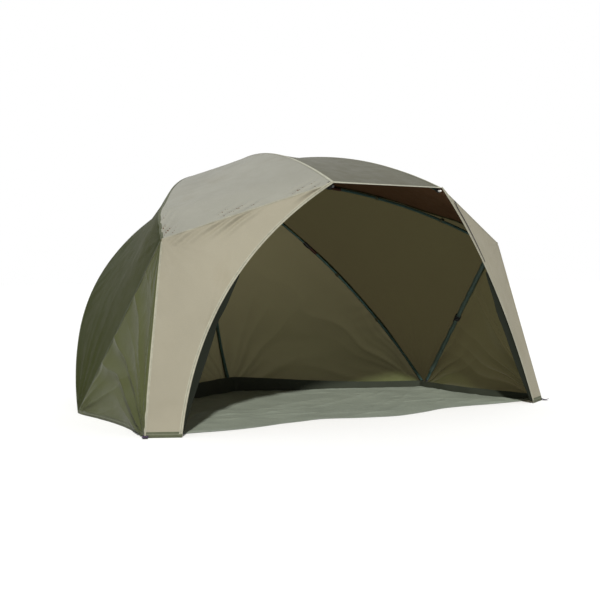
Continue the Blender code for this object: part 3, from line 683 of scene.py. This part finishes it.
def make_wall(word, seed):
    """Half of the rear wall, creased at its feet."""
    rear, centre = RIBS["rear_" + word], RIBS["centre"]
    wall = rib_gore("wall", rear, centre, HEM_PULL)
    wall.drift(0.30, 0.008, seed + 11)
    wall.drift(0.09, 0.0012, seed + 27)
    wall.creases(rear.corner, 11, 0.0200, 0.24, seed + 12)
    wall.creases(centre.corner, 7, 0.0100, 0.16, seed + 13)
    wall.ripple(wall.from_one, 0.05, 0.090, 0.0014, seed + 15, patchy=0.1)
    return wall.finish(on_ground=True)


def make_lower(word, seed):
    """Lower triangle between leg and brace, with deep folds out of the front foot."""
    knee, heel, toe = corners_of(word)
    lower = Gore("lower", straight(knee, toe), straight(knee, heel), pull=HEM_PULL)
    lower.drift(0.20, 0.005, seed + 16)
    lower.drift(0.07, 0.0010, seed + 28)
    lower.creases(toe, 8, 0.034, 0.24, seed + 17, math.radians(86))
    lower.creases(heel, 7, 0.018, 0.15, seed + 18, math.radians(80))
    lower.creases(knee, 7, 0.0040, 0.16, seed + 19, math.radians(60))
    lower.fold_line(toe, blend_points(knee, heel, 0.16), 0.008, 0.009)
    lower.fold_line(toe, blend_points(knee, heel, 0.07), 0.006, 0.008)
    return lower.finish(on_ground=True)


def make_front(word, seed):
    """Front panel between the roof, the leg and the opening, with one long fold up from its foot."""
    knee = corners_of(word)[0]
    edge = opening_line(word)
    panel = Gore("front", outer_line(word), edge)
    beside_roof = np.where(panel.u[:, None] < KNEE_SHARE, panel.from_one, 1.0)
    beside_leg = np.where(panel.u[:, None] > KNEE_SHARE, panel.from_one, 1.0)
    panel.drift(0.30, 0.0035, seed + 20)
    panel.ripple(beside_roof, 0.026, 0.110, 0.0080, seed + 21, patchy=0.2, slant=-2.6)
    panel.creases(knee, 5, 0.0030, 0.06, seed + 22)
    panel.fold_line(edge(0.985), blend_points(knee, edge(0.35), 0.72), 0.010, 0.0035)
    panel.ripple(beside_leg, 0.016, 0.12, 0.0014, seed + 24)
    return panel.finish(on_ground=True)


MAKERS = {"roof_": make_roof, "side_": make_side, "rear_": make_wall, "lower_": make_lower,
          "front_": make_front}


def make_gores():
    """Every panel of the canopy, creased and puckered."""
    peak = rib_gore("peak", RIBS["peak_left"], RIBS["peak_right"])
    peak.drift(0.35, 0.004, 1)
    peak.ripple(peak.from_one, 0.025, 0.075, 0.0008, 2)
    peak.ripple(peak.from_two, 0.025, 0.080, 0.0008, 5)
    gores = {"peak": peak.finish()}
    for word, seed in (("right", 40), ("left", 10)):
        for kind, make in MAKERS.items():
            gores[kind + word] = make(word, seed)
    return gores


def one_side(gores, word):
    """The panels of one side: roof, side, rear wall, lower triangle and front."""
    return (gores[kind + word] for kind in MAKERS)


def away_from(line_start, line_end, point):
    """Unit way from a line towards a point, square to the line."""
    down = unit(line_end - line_start)
    arm = point - line_start
    return unit(arm - down * arm.dot(down))


def fold_rules():
    """For each part of the cloth: the body it rides on, a way square to its pole, and a place on it."""
    centre = RIBS["centre"]
    rules = {"centre": ("rib_centre", centre.hinge, centre.pivot)}
    for word in SIDES:
        for kind in ("peak", "side", "rear"):
            rib = RIBS[kind + "_" + word]
            rules[kind + "_" + word] = ("rib_" + kind + "_" + word, rib.hinge, rib.pivot)
        knee, heel, toe = corners_of(word)
        rules["corner_" + word] = ("leg_" + word, away_from(knee, toe, heel), knee)
        rules["brace_" + word] = ("brace_" + word, away_from(knee, heel, toe), knee)
        rules["front_" + word] = ("leg_" + word, away_from(knee, toe, opening_line(word)(0.6)), knee)
    return rules


RULES = fold_rules()


def gather(thing):
    """Give a piece its own copy of its mesh."""
    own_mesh(thing)


def cloth_piece(name, grids, kinds, rule, nodes):
    """A part of the canopy that rides on one pole."""
    body = RULES[rule][0]
    mesh = mesh_from_grids(name, grids)
    thing = add(name, mesh, kinds[0], body)
    if len(kinds) > 1:
        mesh.materials.append(MATERIALS[kinds[1]])
        first = (grids[0][0].shape[0] - 1) * (grids[0][0].shape[1] - 1)
        for face in mesh.polygons[first:]:
            face.material_index = 1
    if nodes:
        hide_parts(*nodes)
    gather(thing)


def inner_face(grids):
    """The same grids a little further in, facing inwards."""
    return [(points - normals * LINING_GAP, -normals, across, along)
            for points, normals, across, along in grids]


def build_canopy(gores):
    """Split each panel at its middle, so that each half folds with the pole beside it."""
    for word in SIDES:
        roof, side, rear, lower, front = one_side(gores, word)
        middle = [gores["peak"].half(word == "left"), roof.half(True)]
        outer = [roof.half(False)]
        corner = [side.half(False), rear.half(True)]
        nodes = ["canopy_roof_"] + (["canopy_peak"] if word == "left" else [])
        for name, grids, kinds, rule, nodes in (
                ("cloth_peak_", middle, ["peak", "roof"], "peak_", nodes),
                ("cloth_roof_", outer, ["roof"], "side_", ["canopy_roof_"]),
                # Inner layers under the peak and roof, dark brown to paint shade on the underside
                ("lining_peak_", inner_face(middle), ["lining"], "peak_", []),
                ("lining_roof_", inner_face(outer), ["lining"], "side_", []),
                ("cloth_side_", [side.half(True)], ["side"], "side_", ["canopy_side_"]),
                ("cloth_rear_", corner, ["side", "rear"], "rear_", ["canopy_rear_"]),
                ("cloth_corner_", [lower.half(True)], ["lower"], "corner_", ["canopy_lower_"]),
                ("cloth_brace_", [lower.half(False)], ["lower"], "brace_", ["canopy_lower_"]),
                ("cloth_front_", [front.whole()], ["front"], "front_", ["canopy_front_"])):
            nodes = [node + word if node.endswith("_") else node for node in nodes]
            cloth_piece(name + word, grids, kinds, rule + word, nodes)
    centre = [gores["rear_left"].half(False), gores["rear_right"].half(False)]
    cloth_piece("cloth_rear_centre", centre, ["rear"], "centre", ["canopy_rear_left", "canopy_rear_right"])


# Tapes and hems


def tape_sections(edge, ways, normals, width, lift):
    """Cross-sections of a tape that lies over a seam with cloth on both sides."""
    top = unit(normals[0] + normals[1])

    def row(height):
        return [edge + ways[0] * width / 2 + normals[0] * height,
                edge + ways[0] * width / 4 + normals[0] * height,
                edge + top * height,
                edge + ways[1] * width / 4 + normals[1] * height,
                edge + ways[1] * width / 2 + normals[1] * height]
    return np.stack(row(lift) + row(lift * 0.25)[::-1], axis=1)


def border(gore, name):
    """Edge points, the way into the cloth and the normals along one border of a panel."""
    points, normals = gore.points, gore.normals
    if name == "one":
        return points[:, 0], unit(points[:, 2] - points[:, 0] + 1e-9), normals[:, 1]
    if name == "two":
        return points[:, -1], unit(points[:, -3] - points[:, -1] + 1e-9), normals[:, -2]
    return points[-1], unit(points[-3] - points[-1]), normals[-2]


def resample(edge_data, steps):
    """The same border with another count of points, evenly spaced by length."""
    run = run_length(edge_data[0])
    target = np.linspace(0, run[-1], steps)
    edge, way, normal = (np.stack([np.interp(target, run, part[:, axis]) for axis in range(3)], axis=-1)
                         for part in edge_data)
    return edge, unit(way), unit(normal)


def seam_tape(name, first, second, body, kind="tape", width=TAPE_WIDTH, cut=slice(1, None), rule=None):
    """Tape over the seam between two panel borders with matching points."""
    edge, way_one, normal_one = (part[cut] for part in first)
    _, way_two, normal_two = (part[cut] for part in second)
    sections = tape_sections(edge, (way_one, way_two), (normal_one, normal_two), width, TAPE_LIFT)
    band(name, sections, kind, body, rule, GROUND_CLEARANCE)


def hem_band(name, edge_data, rule, kind="tape", width=HEM_WIDTH, half=HEM_HALF, cut=slice(None)):
    """A folded hem round a free edge, folding with the cloth it ends."""
    edge, way, normal = (part[cut] for part in edge_data)
    form = [(-half, half * 0.3), (-half, 0), (0, half), (width / 2, half), (width, half * 0.8),
            (width, -half * 0.8), (width / 2, -half), (0, -half)]
    body = RULES[rule][0] if rule else "shelter"
    return band(name, ribbon(edge, way, normal, form), kind, body, rule, HEM_LOWEST)


def halves(count):
    """The two halves of a border, sharing its middle point."""
    middle = (count - 1) // 2
    return {"first": slice(0, middle + 1), "second": slice(middle, None)}


def build_trim(gores):
    """Tapes over the seams and hems along the free edges."""
    peak = gores["peak"]
    for word in SIDES:
        roof, side, wall, lower, panel = one_side(gores, word)
        steps = len(peak.u)
        seam_tape("tape_peak_" + word, resample(border(peak, "one" if word == "left" else "two"), steps),
                  resample(border(roof, "one"), steps), "rib_peak_" + word, "pale_tape", TAPE_WIDTHS["peak"])
        seam_tape("tape_side_" + word, border(roof, "two"), border(side, "one"), "rib_side_" + word)
        seam_tape("tape_rear_" + word, resample(border(side, "two"), len(wall.u)), border(wall, "one"),
                  "rib_rear_" + word)
        steps = len(lower.u)
        below_knee = slice(2, None)
        seam_tape("tape_brace_" + word, resample(border(side, "end"), steps),
                  resample(border(lower, "two"), steps), "brace_" + word, "tape", TAPE_WIDTHS["brace"],
                  below_knee)
        knee_row = int(round(KNEE_SHARE * (len(panel.u) - 1)))
        outer = border(panel, "one")
        seam_tape("tape_leg_" + word, resample([part[knee_row:] for part in outer], steps),
                  border(lower, "one"), "leg_" + word, "hem", TAPE_WIDTHS["leg"], below_knee)
        upper = resample([part[:knee_row + 1] for part in outer], len(roof.v))
        for (kind, cut), pole in zip(halves(len(roof.v)).items(), ("peak_", "side_")):
            rule = pole + word
            seam_tape("tape_front_%s_%s" % (kind, word), upper, border(roof, "end"), RULES[rule][0], "hem",
                      TAPE_WIDTHS["front"], cut, rule)
        hem_band("hem_opening_" + word, border(panel, "two"), "front_" + word, "hem", HEM_WIDTHS["opening"])
        hem_band("hem_foot_" + word, border(panel, "end"), "front_" + word)
        for name, gore, rules in (("rear", wall, ("rear_" + word, "centre")),
                                  ("lower", lower, ("corner_" + word, "brace_" + word))):
            for (kind, cut), rule in zip(halves(len(gore.v)).items(), rules):
                hem_band("hem_%s_%s_%s" % (name, kind, word), border(gore, "end"), rule, cut=cut)
        cut = halves(len(peak.v))["first" if word == "left" else "second"]
        hem_band("hem_peak_" + word, border(peak, "end"), "peak_" + word, "pale_tape", HEM_WIDTHS["peak"],
                 cut=cut)
    left, right = (border(gores["rear_" + word], "two") for word in ("left", "right"))
    seam_tape("tape_centre", left, right, "rib_centre")


# Small trim on the frame and the cloth

# Ties on the ribs: their shares of the rib, width and tail
TIES = {"rear": ((0.22, 0.52, 0.74), 0.020, 0.016), "side": ((0.22, 0.55, 0.80), 0.018, 0.010)}
STRAP_THICKNESS = 0.0014
STRAP_STEPS = 28
TAIL_STEPS = 6
TIE_RADIUS = 0.0080
BRACE_STRAP_RADIUS = 0.0142
BRACE_STRAP_WIDTH = 0.030
BRACE_STRAP_TAIL = 0.024
SLEEVE_RADIUS = 0.0125
SLEEVE_START = 0.07
SLEEVE_LENGTH_SHARE = 0.86
SLEEVE_STEPS = 60
SLEEVE_TURNS = 20
# Facing, near-black to paint shade inside the opening's edge: the share of the opening's edge at which it
# starts, and its width
FACING_START = 0.44
FACING_WIDTH = 0.034
# Zip: the rows of the opening's edge beside it, and how far from that edge it lies
ZIP_ROWS = slice(14, 62)
ZIP_FROM_EDGE = 0.031


def ring_strap(name, centre, along, radius, width, kind, body, tail, tail_way):
    """A loop of webbing round a pole, with a short free tail."""
    along = unit(np.asarray(along, float))
    way = np.asarray(tail_way, float)
    one = unit(way - along * way.dot(along))
    two = np.cross(along, one)
    path = []
    for step in range(STRAP_STEPS + 1):
        angle = 2 * math.pi * step / STRAP_STEPS
        turn = one * math.cos(angle) + two * math.sin(angle)
        path.append(centre + turn * (radius + STRAP_THICKNESS * 1.2 + 0.00003 * step))
    tip = path[-1]
    for step in range(1, TAIL_STEPS + 1):
        path.append(tip + one * (tail * step / TAIL_STEPS) + two * (0.002 * math.sin(step)))
    path = np.array(path)
    outward = unit(np.cross(np.gradient(path, axis=0), along))
    form = band_form(width / 2, STRAP_THICKNESS, STRAP_THICKNESS * 1.2, STRAP_THICKNESS * 0.1)
    band(name, ribbon(path, along, outward, form), kind, body)


def axis_of(name):
    """Top and foot of a straight pole, from its node's vertices."""
    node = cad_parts[name]
    points = np.array([node.matrix_world @ vertex.co for vertex in node.data.vertices])
    middle = points.mean(0)
    way = np.linalg.svd(points - middle, full_matrices=False)[2][0]
    way = way if way[2] < 0 else -way
    reach = (points - middle) @ way
    return middle + way * reach.min(), middle + way * reach.max()


def frame_straps():
    """Ties that hold the cloth to the poles, as seen inside the shelter."""
    for word, side in SIDES.items():
        for kind, (shares, width, tail) in TIES.items():
            name = kind + "_" + word
            rib = RIBS[name]
            for number, share in enumerate(shares):
                centre = rib.at(share)
                way = rib.at(share + 0.01) - centre
                ring_strap("tie_%s_%d" % (name, number), centre, way, TIE_RADIUS, width, "tape",
                           "rib_" + name, tail, rib.out)
        top, foot = axis_of("brace_" + word)
        ring_strap("strap_brace_" + word, top + (foot - top) * 0.50, foot - top, BRACE_STRAP_RADIUS,
                   BRACE_STRAP_WIDTH, "black_tape", "brace_" + word, BRACE_STRAP_TAIL, (-side, -0.6, 0.2))


def foot_tabs():
    """Webbing tabs at the front feet."""
    for word, side in SIDES.items():
        start = TOES[word] + turned((-0.012, 0.006, 0.004), side)
        way = unit(turned((0.55, -0.80, 0), side))
        across = np.array([-way[1], way[0], 0])
        path = np.array([start + way * step * 0.008 + np.array([0, 0, 0.004 * math.cos(step * 0.9) + 0.001])
                         for step in range(7)])
        path[:, 2] = np.maximum(path[:, 2], 0.0022)
        sections = ribbon(path, across, np.array([0, 0, 1]), band_form(0.0125, 0.0018, 0.0022, 0.0002))
        add("foot_tab_" + word, strip_mesh("foot_tab", sections), "violet_tape", "leg_" + word)


def opening_facing(gores):
    """Facing turned inwards along the lower part of the opening's edge, near-black to paint the shade there.
    """
    for word in SIDES:
        edge, way, normal = border(gores["front_" + word], "two")
        rows = slice(int(len(edge) * FACING_START), len(edge) - 1)
        edge, way, normal = edge[rows], way[rows], normal[rows]
        share = np.linspace(0, 1, len(edge))[:, None]
        width = 0.002 + FACING_WIDTH * np.clip(np.sin(math.pi * share), 0, 1) ** 0.8
        start = edge + way * 0.006 - normal * 0.003
        end = edge - way * width - normal * (0.010 + width * 0.5)
        middle = (start + end) / 2 - normal * 0.002
        sections = np.stack([start, start + normal * 0.0012, middle + normal * 0.0014,
                             end + normal * 0.0012, end, middle], axis=1)
        band("facing_" + word, sections, "facing", "leg_" + word, "front_" + word, GROUND_CLEARANCE)


def brace_sleeves():
    """Gathered cloth sleeve round each brace."""
    for word in SIDES:
        top, foot = axis_of("brace_" + word)
        way = unit(foot - top)
        one = unit(np.cross(way, np.array([0, 0, 1.0])))
        two = np.cross(way, one)
        draw = 3.0 if word == "left" else 9.0
        rings = []
        for step in range(SLEEVE_STEPS + 1):
            centre = top + (foot - top) * (SLEEVE_START + SLEEVE_LENGTH_SHARE * step / SLEEVE_STEPS)
            ring = []
            for turn in range(SLEEVE_TURNS):
                angle = 2 * math.pi * turn / SLEEVE_TURNS
                swell = SLEEVE_RADIUS + 0.0016 * noise.noise(Vector((angle, step * 0.16, draw)))
                swell += 0.0012 * math.sin(step * 0.9 + 1.3 * math.sin(angle))
                ring.append(centre + (one * math.cos(angle) + two * math.sin(angle)) * swell)
            rings.append(ring)
        band("sleeve_" + word, rings, "sleeve", "brace_" + word)


def zip_line(gores):
    """Thin zip down the upper part of the right side of the opening."""
    edge, way, normal = (part[ZIP_ROWS] for part in border(gores["front_right"], "two"))
    centre = edge + way * ZIP_FROM_EDGE + normal * TAPE_LIFT
    sections = ribbon(centre, way, normal, band_form(0.0032, 0.0016, 0.00192, 0))
    band("zip_right", sections, "black_tape", "leg_right", "front_right")


def corner_patches(gores):
    """Reinforcing patches at the corners of the front edge, the right one larger."""
    for word, size in (("right", 5), ("left", 3)):
        roof = gores["roof_" + word]
        cut = (slice(-size, None), slice(0, size))
        normals = roof.normals[cut]
        grids = [(roof.points[cut] + normals * TAPE_LIFT, normals, roof.from_one[cut], roof.along[cut])]
        name = "corner_patch_" + word
        patch = add(name, mesh_from_grids(name, grids), "black_tape", "rib_peak_" + word)
        gather(patch)


def toggle():
    """Small pale toggle at the right corner of the front edge."""
    profile = [(0, 0.011), (0.0035, 0.010), (0.0045, 0.006), (0.0035, 0), (0.0045, -0.006),
               (0.0035, -0.010), (0, -0.011)]
    points = []
    around = 14
    for radius, height in profile:
        for step in range(around):
            angle = 2 * math.pi * step / around
            points.append((radius * math.cos(angle), height, radius * math.sin(angle)))
    mesh = new_mesh("toggle", points, skin(len(profile), around))
    mesh.transform(Matrix.Translation(Vector(RIBS["peak_right"].corner) + Vector((-0.018, -0.006, -0.016))))
    add("toggle_right", mesh, "pale_plastic", "rib_peak_right")


# Groundsheet and mud strip

# Middle of the floor, and how far inside the walls' line the sheet and the strip lie
FLOOR_MIDDLE = spot(0, 0.450, 0)
SHEET_INSET = 0.0196
STRIP_INSET = 0.058
# Front edge of the sheet: shares of its width, and how far in front of the front feet it lies there
EDGE_SHARES = (0, 0.18, 0.31, 0.41, 0.49, 0.58, 0.74, 0.90, 1)
EDGE_DROPS = (0, 0.045, -0.010, -0.036, 0.060, 0.095, -0.015, 0.012, 0)
EDGE_SMOOTHING = 60
SHEET_ROWS = 130
SHEET_STEPS = 56
SHEET_CREASES = 90
SHEET_HEM_HALF = 0.0010
STRIP_ROWS = 9
STRIP_STEPS = 46


def hem_run(inset, count):
    """The line inside the walls at the ground, from the left front foot round to the right one."""
    right = [spot(*foot, 0) for foot in (RIB_FORMS["rear"][0][:2], FRONT_FOOT)]
    corners = [turned(point, -1) for point in right[::-1]] + [spot(*RIB_FORMS["centre"][0][:2], 0)] + right
    drawn = [point + unit(FLOOR_MIDDLE - point) * inset for point in corners]
    run = []
    for one, two in zip(drawn, drawn[1:]):
        inward = unit(FLOOR_MIDDLE - (one + two) / 2)
        for step in range(count):
            share = step / count
            run.append(blend_points(one, two, share) + inward * (HEM_PULL * math.sin(math.pi * share)))
    run.append(drawn[-1])
    return np.array(run)


def sheet_wrinkles(grid):
    """Heights of soft unevenness and of straight creases laid at random."""
    wrinkle = 0.0040 * noise_at(grid, 0.16, 71) + 0.0018 * noise_at(grid, 0.05, 72)
    chance = np.random.default_rng(73)
    for _ in range(SHEET_CREASES):
        start = np.array([chance.uniform(-1.15, 1.15), FRONT_LINE_Y + chance.uniform(0, 1.2)])
        turn = chance.normal(0.25, 0.55)
        line = np.array([math.cos(turn), math.sin(turn)]) * chance.uniform(0.2, 0.7)
        part = np.clip(((grid[..., :2] - start) @ line) / line.dot(line), 0, 1)
        gap = np.linalg.norm(grid[..., :2] - start - part[..., None] * line, axis=-1)
        tall = chance.uniform(0.0015, 0.0055) * np.sin(math.pi * np.clip(part, 0.01, 0.99)) ** 0.6
        wrinkle = wrinkle + tall * np.exp(-gap / chance.uniform(0.010, 0.022))
    return wrinkle


def groundsheet():
    """Sheet on the ground with low wrinkles, its front edge wavy and hemmed."""
    back = hem_run(SHEET_INSET, SHEET_STEPS)
    share = np.linspace(0, 1, len(back))
    front = blend_points(back[0], back[-1], share[:, None])
    drift = np.interp(share, EDGE_SHARES, EDGE_DROPS)
    for _ in range(EDGE_SMOOTHING):
        drift[1:-1] = (drift[:-2] + 2 * drift[1:-1] + drift[2:]) / 4
    front[:, 1] -= drift + 0.003 * np.sin(share * 60) * np.sin(math.pi * share)
    down = np.linspace(0, 1, SHEET_ROWS + 1)[:, None, None]
    grid = blend_points(front[None], back[None], down)
    edge = np.minimum(1, np.minimum(down[..., 0], 1 - down[..., 0]) / 0.04)
    edge = edge * np.minimum(1, np.minimum(share, 1 - share)[None, :] / 0.03)
    grid[..., 2] = GROUND_CLEARANCE + np.clip(sheet_wrinkles(grid) + 0.002, 0, None) * (0.25 + 0.75 * edge)
    normals = grid_normals(grid)
    normals = np.where(normals[..., 2:3] < 0, -normals, normals)
    grids = [(grid, normals, grid[..., 0] - grid[..., 0].min(), grid[..., 1] - grid[..., 1].min())]
    sheet = add("groundsheet_cloth", mesh_from_grids("groundsheet_cloth", grids), "sheet", "shelter")
    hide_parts("groundsheet")
    edge_data = (grid[0], unit(grid[3] - grid[0]), normals[0])
    hem = hem_band("hem_groundsheet", edge_data, None, "sheet_hem", HEM_WIDTHS["sheet"], SHEET_HEM_HALF)
    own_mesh(sheet)
    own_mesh(hem)


def mud_strip():
    """Upright strip round the foot of the walls, slack and folded."""
    base = hem_run(STRIP_INSET, STRIP_STEPS)
    run = run_length(base)
    outward = unit(base - FLOOR_MIDDLE)
    tall = 0.036 + 0.050 * np.exp(-((base[:, 0] + 0.15) / 0.6) ** 2)
    grid = []
    for row in range(STRIP_ROWS + 1):
        rise = row / STRIP_ROWS
        lean = 0.012 * rise + 0.004 * np.sin(run * 31 + 0.8) * rise * (1 - 0.3 * rise)
        line = base + outward * lean[:, None]
        line = line + outward * (0.0035 * noise_at(base + rise * 0.07, 0.10, 81))[:, None] * rise
        line[:, 2] = GROUND_CLEARANCE + 0.0004 + tall * rise
        grid.append(line)
    grid = np.array(grid)
    along = np.repeat(run[None], len(grid), axis=0)
    across = np.repeat(np.linspace(0, 0.07, len(grid))[:, None], len(run), axis=1)
    grids = [(grid, grid_normals(grid), across, along)]
    strip = add("mud_strip_cloth", mesh_from_grids("mud_strip_cloth", grids), "strip", "shelter")
    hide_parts("mud_strip")
    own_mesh(strip)


# Light, floor and camera

SUN_WAY = Vector((0.38, 0.70, -0.62))
SUN_STRENGTH = 4.0
SUN_SOFTNESS = math.radians(2.5)
SKY_STRENGTH = 0.34
FLOOR_HALF = 30
# Camera: solved from the shelter's symmetry in the photo, with lengths in the photo's pixels
PHOTO_PIXELS = 600
FOCAL_PIXELS = 1107
HORIZON_PIXELS = 263
SENSOR_MM = 36
CAMERA_YAW = math.radians(33.6)
CAMERA_PLACE = (-3.306, FRONT_LINE_Y - 4.376, 0.76)


def light_scene():
    """A soft key from the front, a pale surround, and white where the camera, gloss or glass sees it."""
    lamp = bpy.data.lights.new("key", "SUN")
    lamp.energy = SUN_STRENGTH
    lamp.angle = SUN_SOFTNESS
    lamp.color = (1.0, 0.985, 0.95)
    place("key", lamp).rotation_euler = SUN_WAY.to_track_quat("-Z", "Y").to_euler()
    world = bpy.data.worlds.new("surround")
    bpy.context.scene.world = world
    world.use_nodes = True
    tree = world.node_tree
    tree.nodes.clear()
    rays = tree.nodes.new("ShaderNodeLightPath").outputs
    seen_by = rays["Is Camera Ray"]
    for ray in ("Is Glossy Ray", "Is Transmission Ray"):
        seen_by = new_node(tree, "Math", {0: seen_by, 1: rays[ray]}, operation="MAXIMUM")
    sky = new_node(tree, "Background", {"Color": (0.90, 0.95, 1.0), "Strength": SKY_STRENGTH})
    white = new_node(tree, "Background", {"Color": (1, 1, 1), "Strength": 1.0})
    mixed = new_node(tree, "MixShader", {0: seen_by, 1: sky, 2: white})
    put(tree, tree.nodes.new("ShaderNodeOutputWorld").inputs["Surface"], mixed)
    bpy.context.scene.view_settings.view_transform = "Standard"


def floor():
    """Plain pale floor."""
    mesh = bpy.data.meshes.new("floor")
    corners = [(x * FLOOR_HALF, y * FLOOR_HALF, 0) for x, y in ((-1, -1), (1, -1), (1, 1), (-1, 1))]
    mesh.from_pydata(corners, [], [(0, 1, 2, 3)])
    shader = Shader("floor", 0.9)
    MATERIALS["floor"] = shader.done(shader.tone(0.8, 2, 0.975, 0.99))
    thing = add("floor", mesh, "floor")


def camera():
    """The photograph's view: level, with its horizon a little above the middle."""
    data = bpy.data.cameras.new("camera")
    data.sensor_width = SENSOR_MM
    data.lens = SENSOR_MM * FOCAL_PIXELS / PHOTO_PIXELS
    data.shift_y = -(PHOTO_PIXELS / 2 - HORIZON_PIXELS) / PHOTO_PIXELS
    data.clip_end = 100
    thing = place("camera", data)
    thing.location = CAMERA_PLACE
    way = Vector((math.sin(CAMERA_YAW), math.cos(CAMERA_YAW), 0))
    thing.rotation_euler = way.to_track_quat("-Z", "Y").to_euler()
    bpy.context.scene.camera = thing


dress_frame()
floor()
panels = make_gores()
build_canopy(panels)
build_trim(panels)
frame_straps()
foot_tabs()
opening_facing(panels)
brace_sleeves()
zip_line(panels)
corner_patches(panels)
toggle()
groundsheet()
mud_strip()
light_scene()
camera()
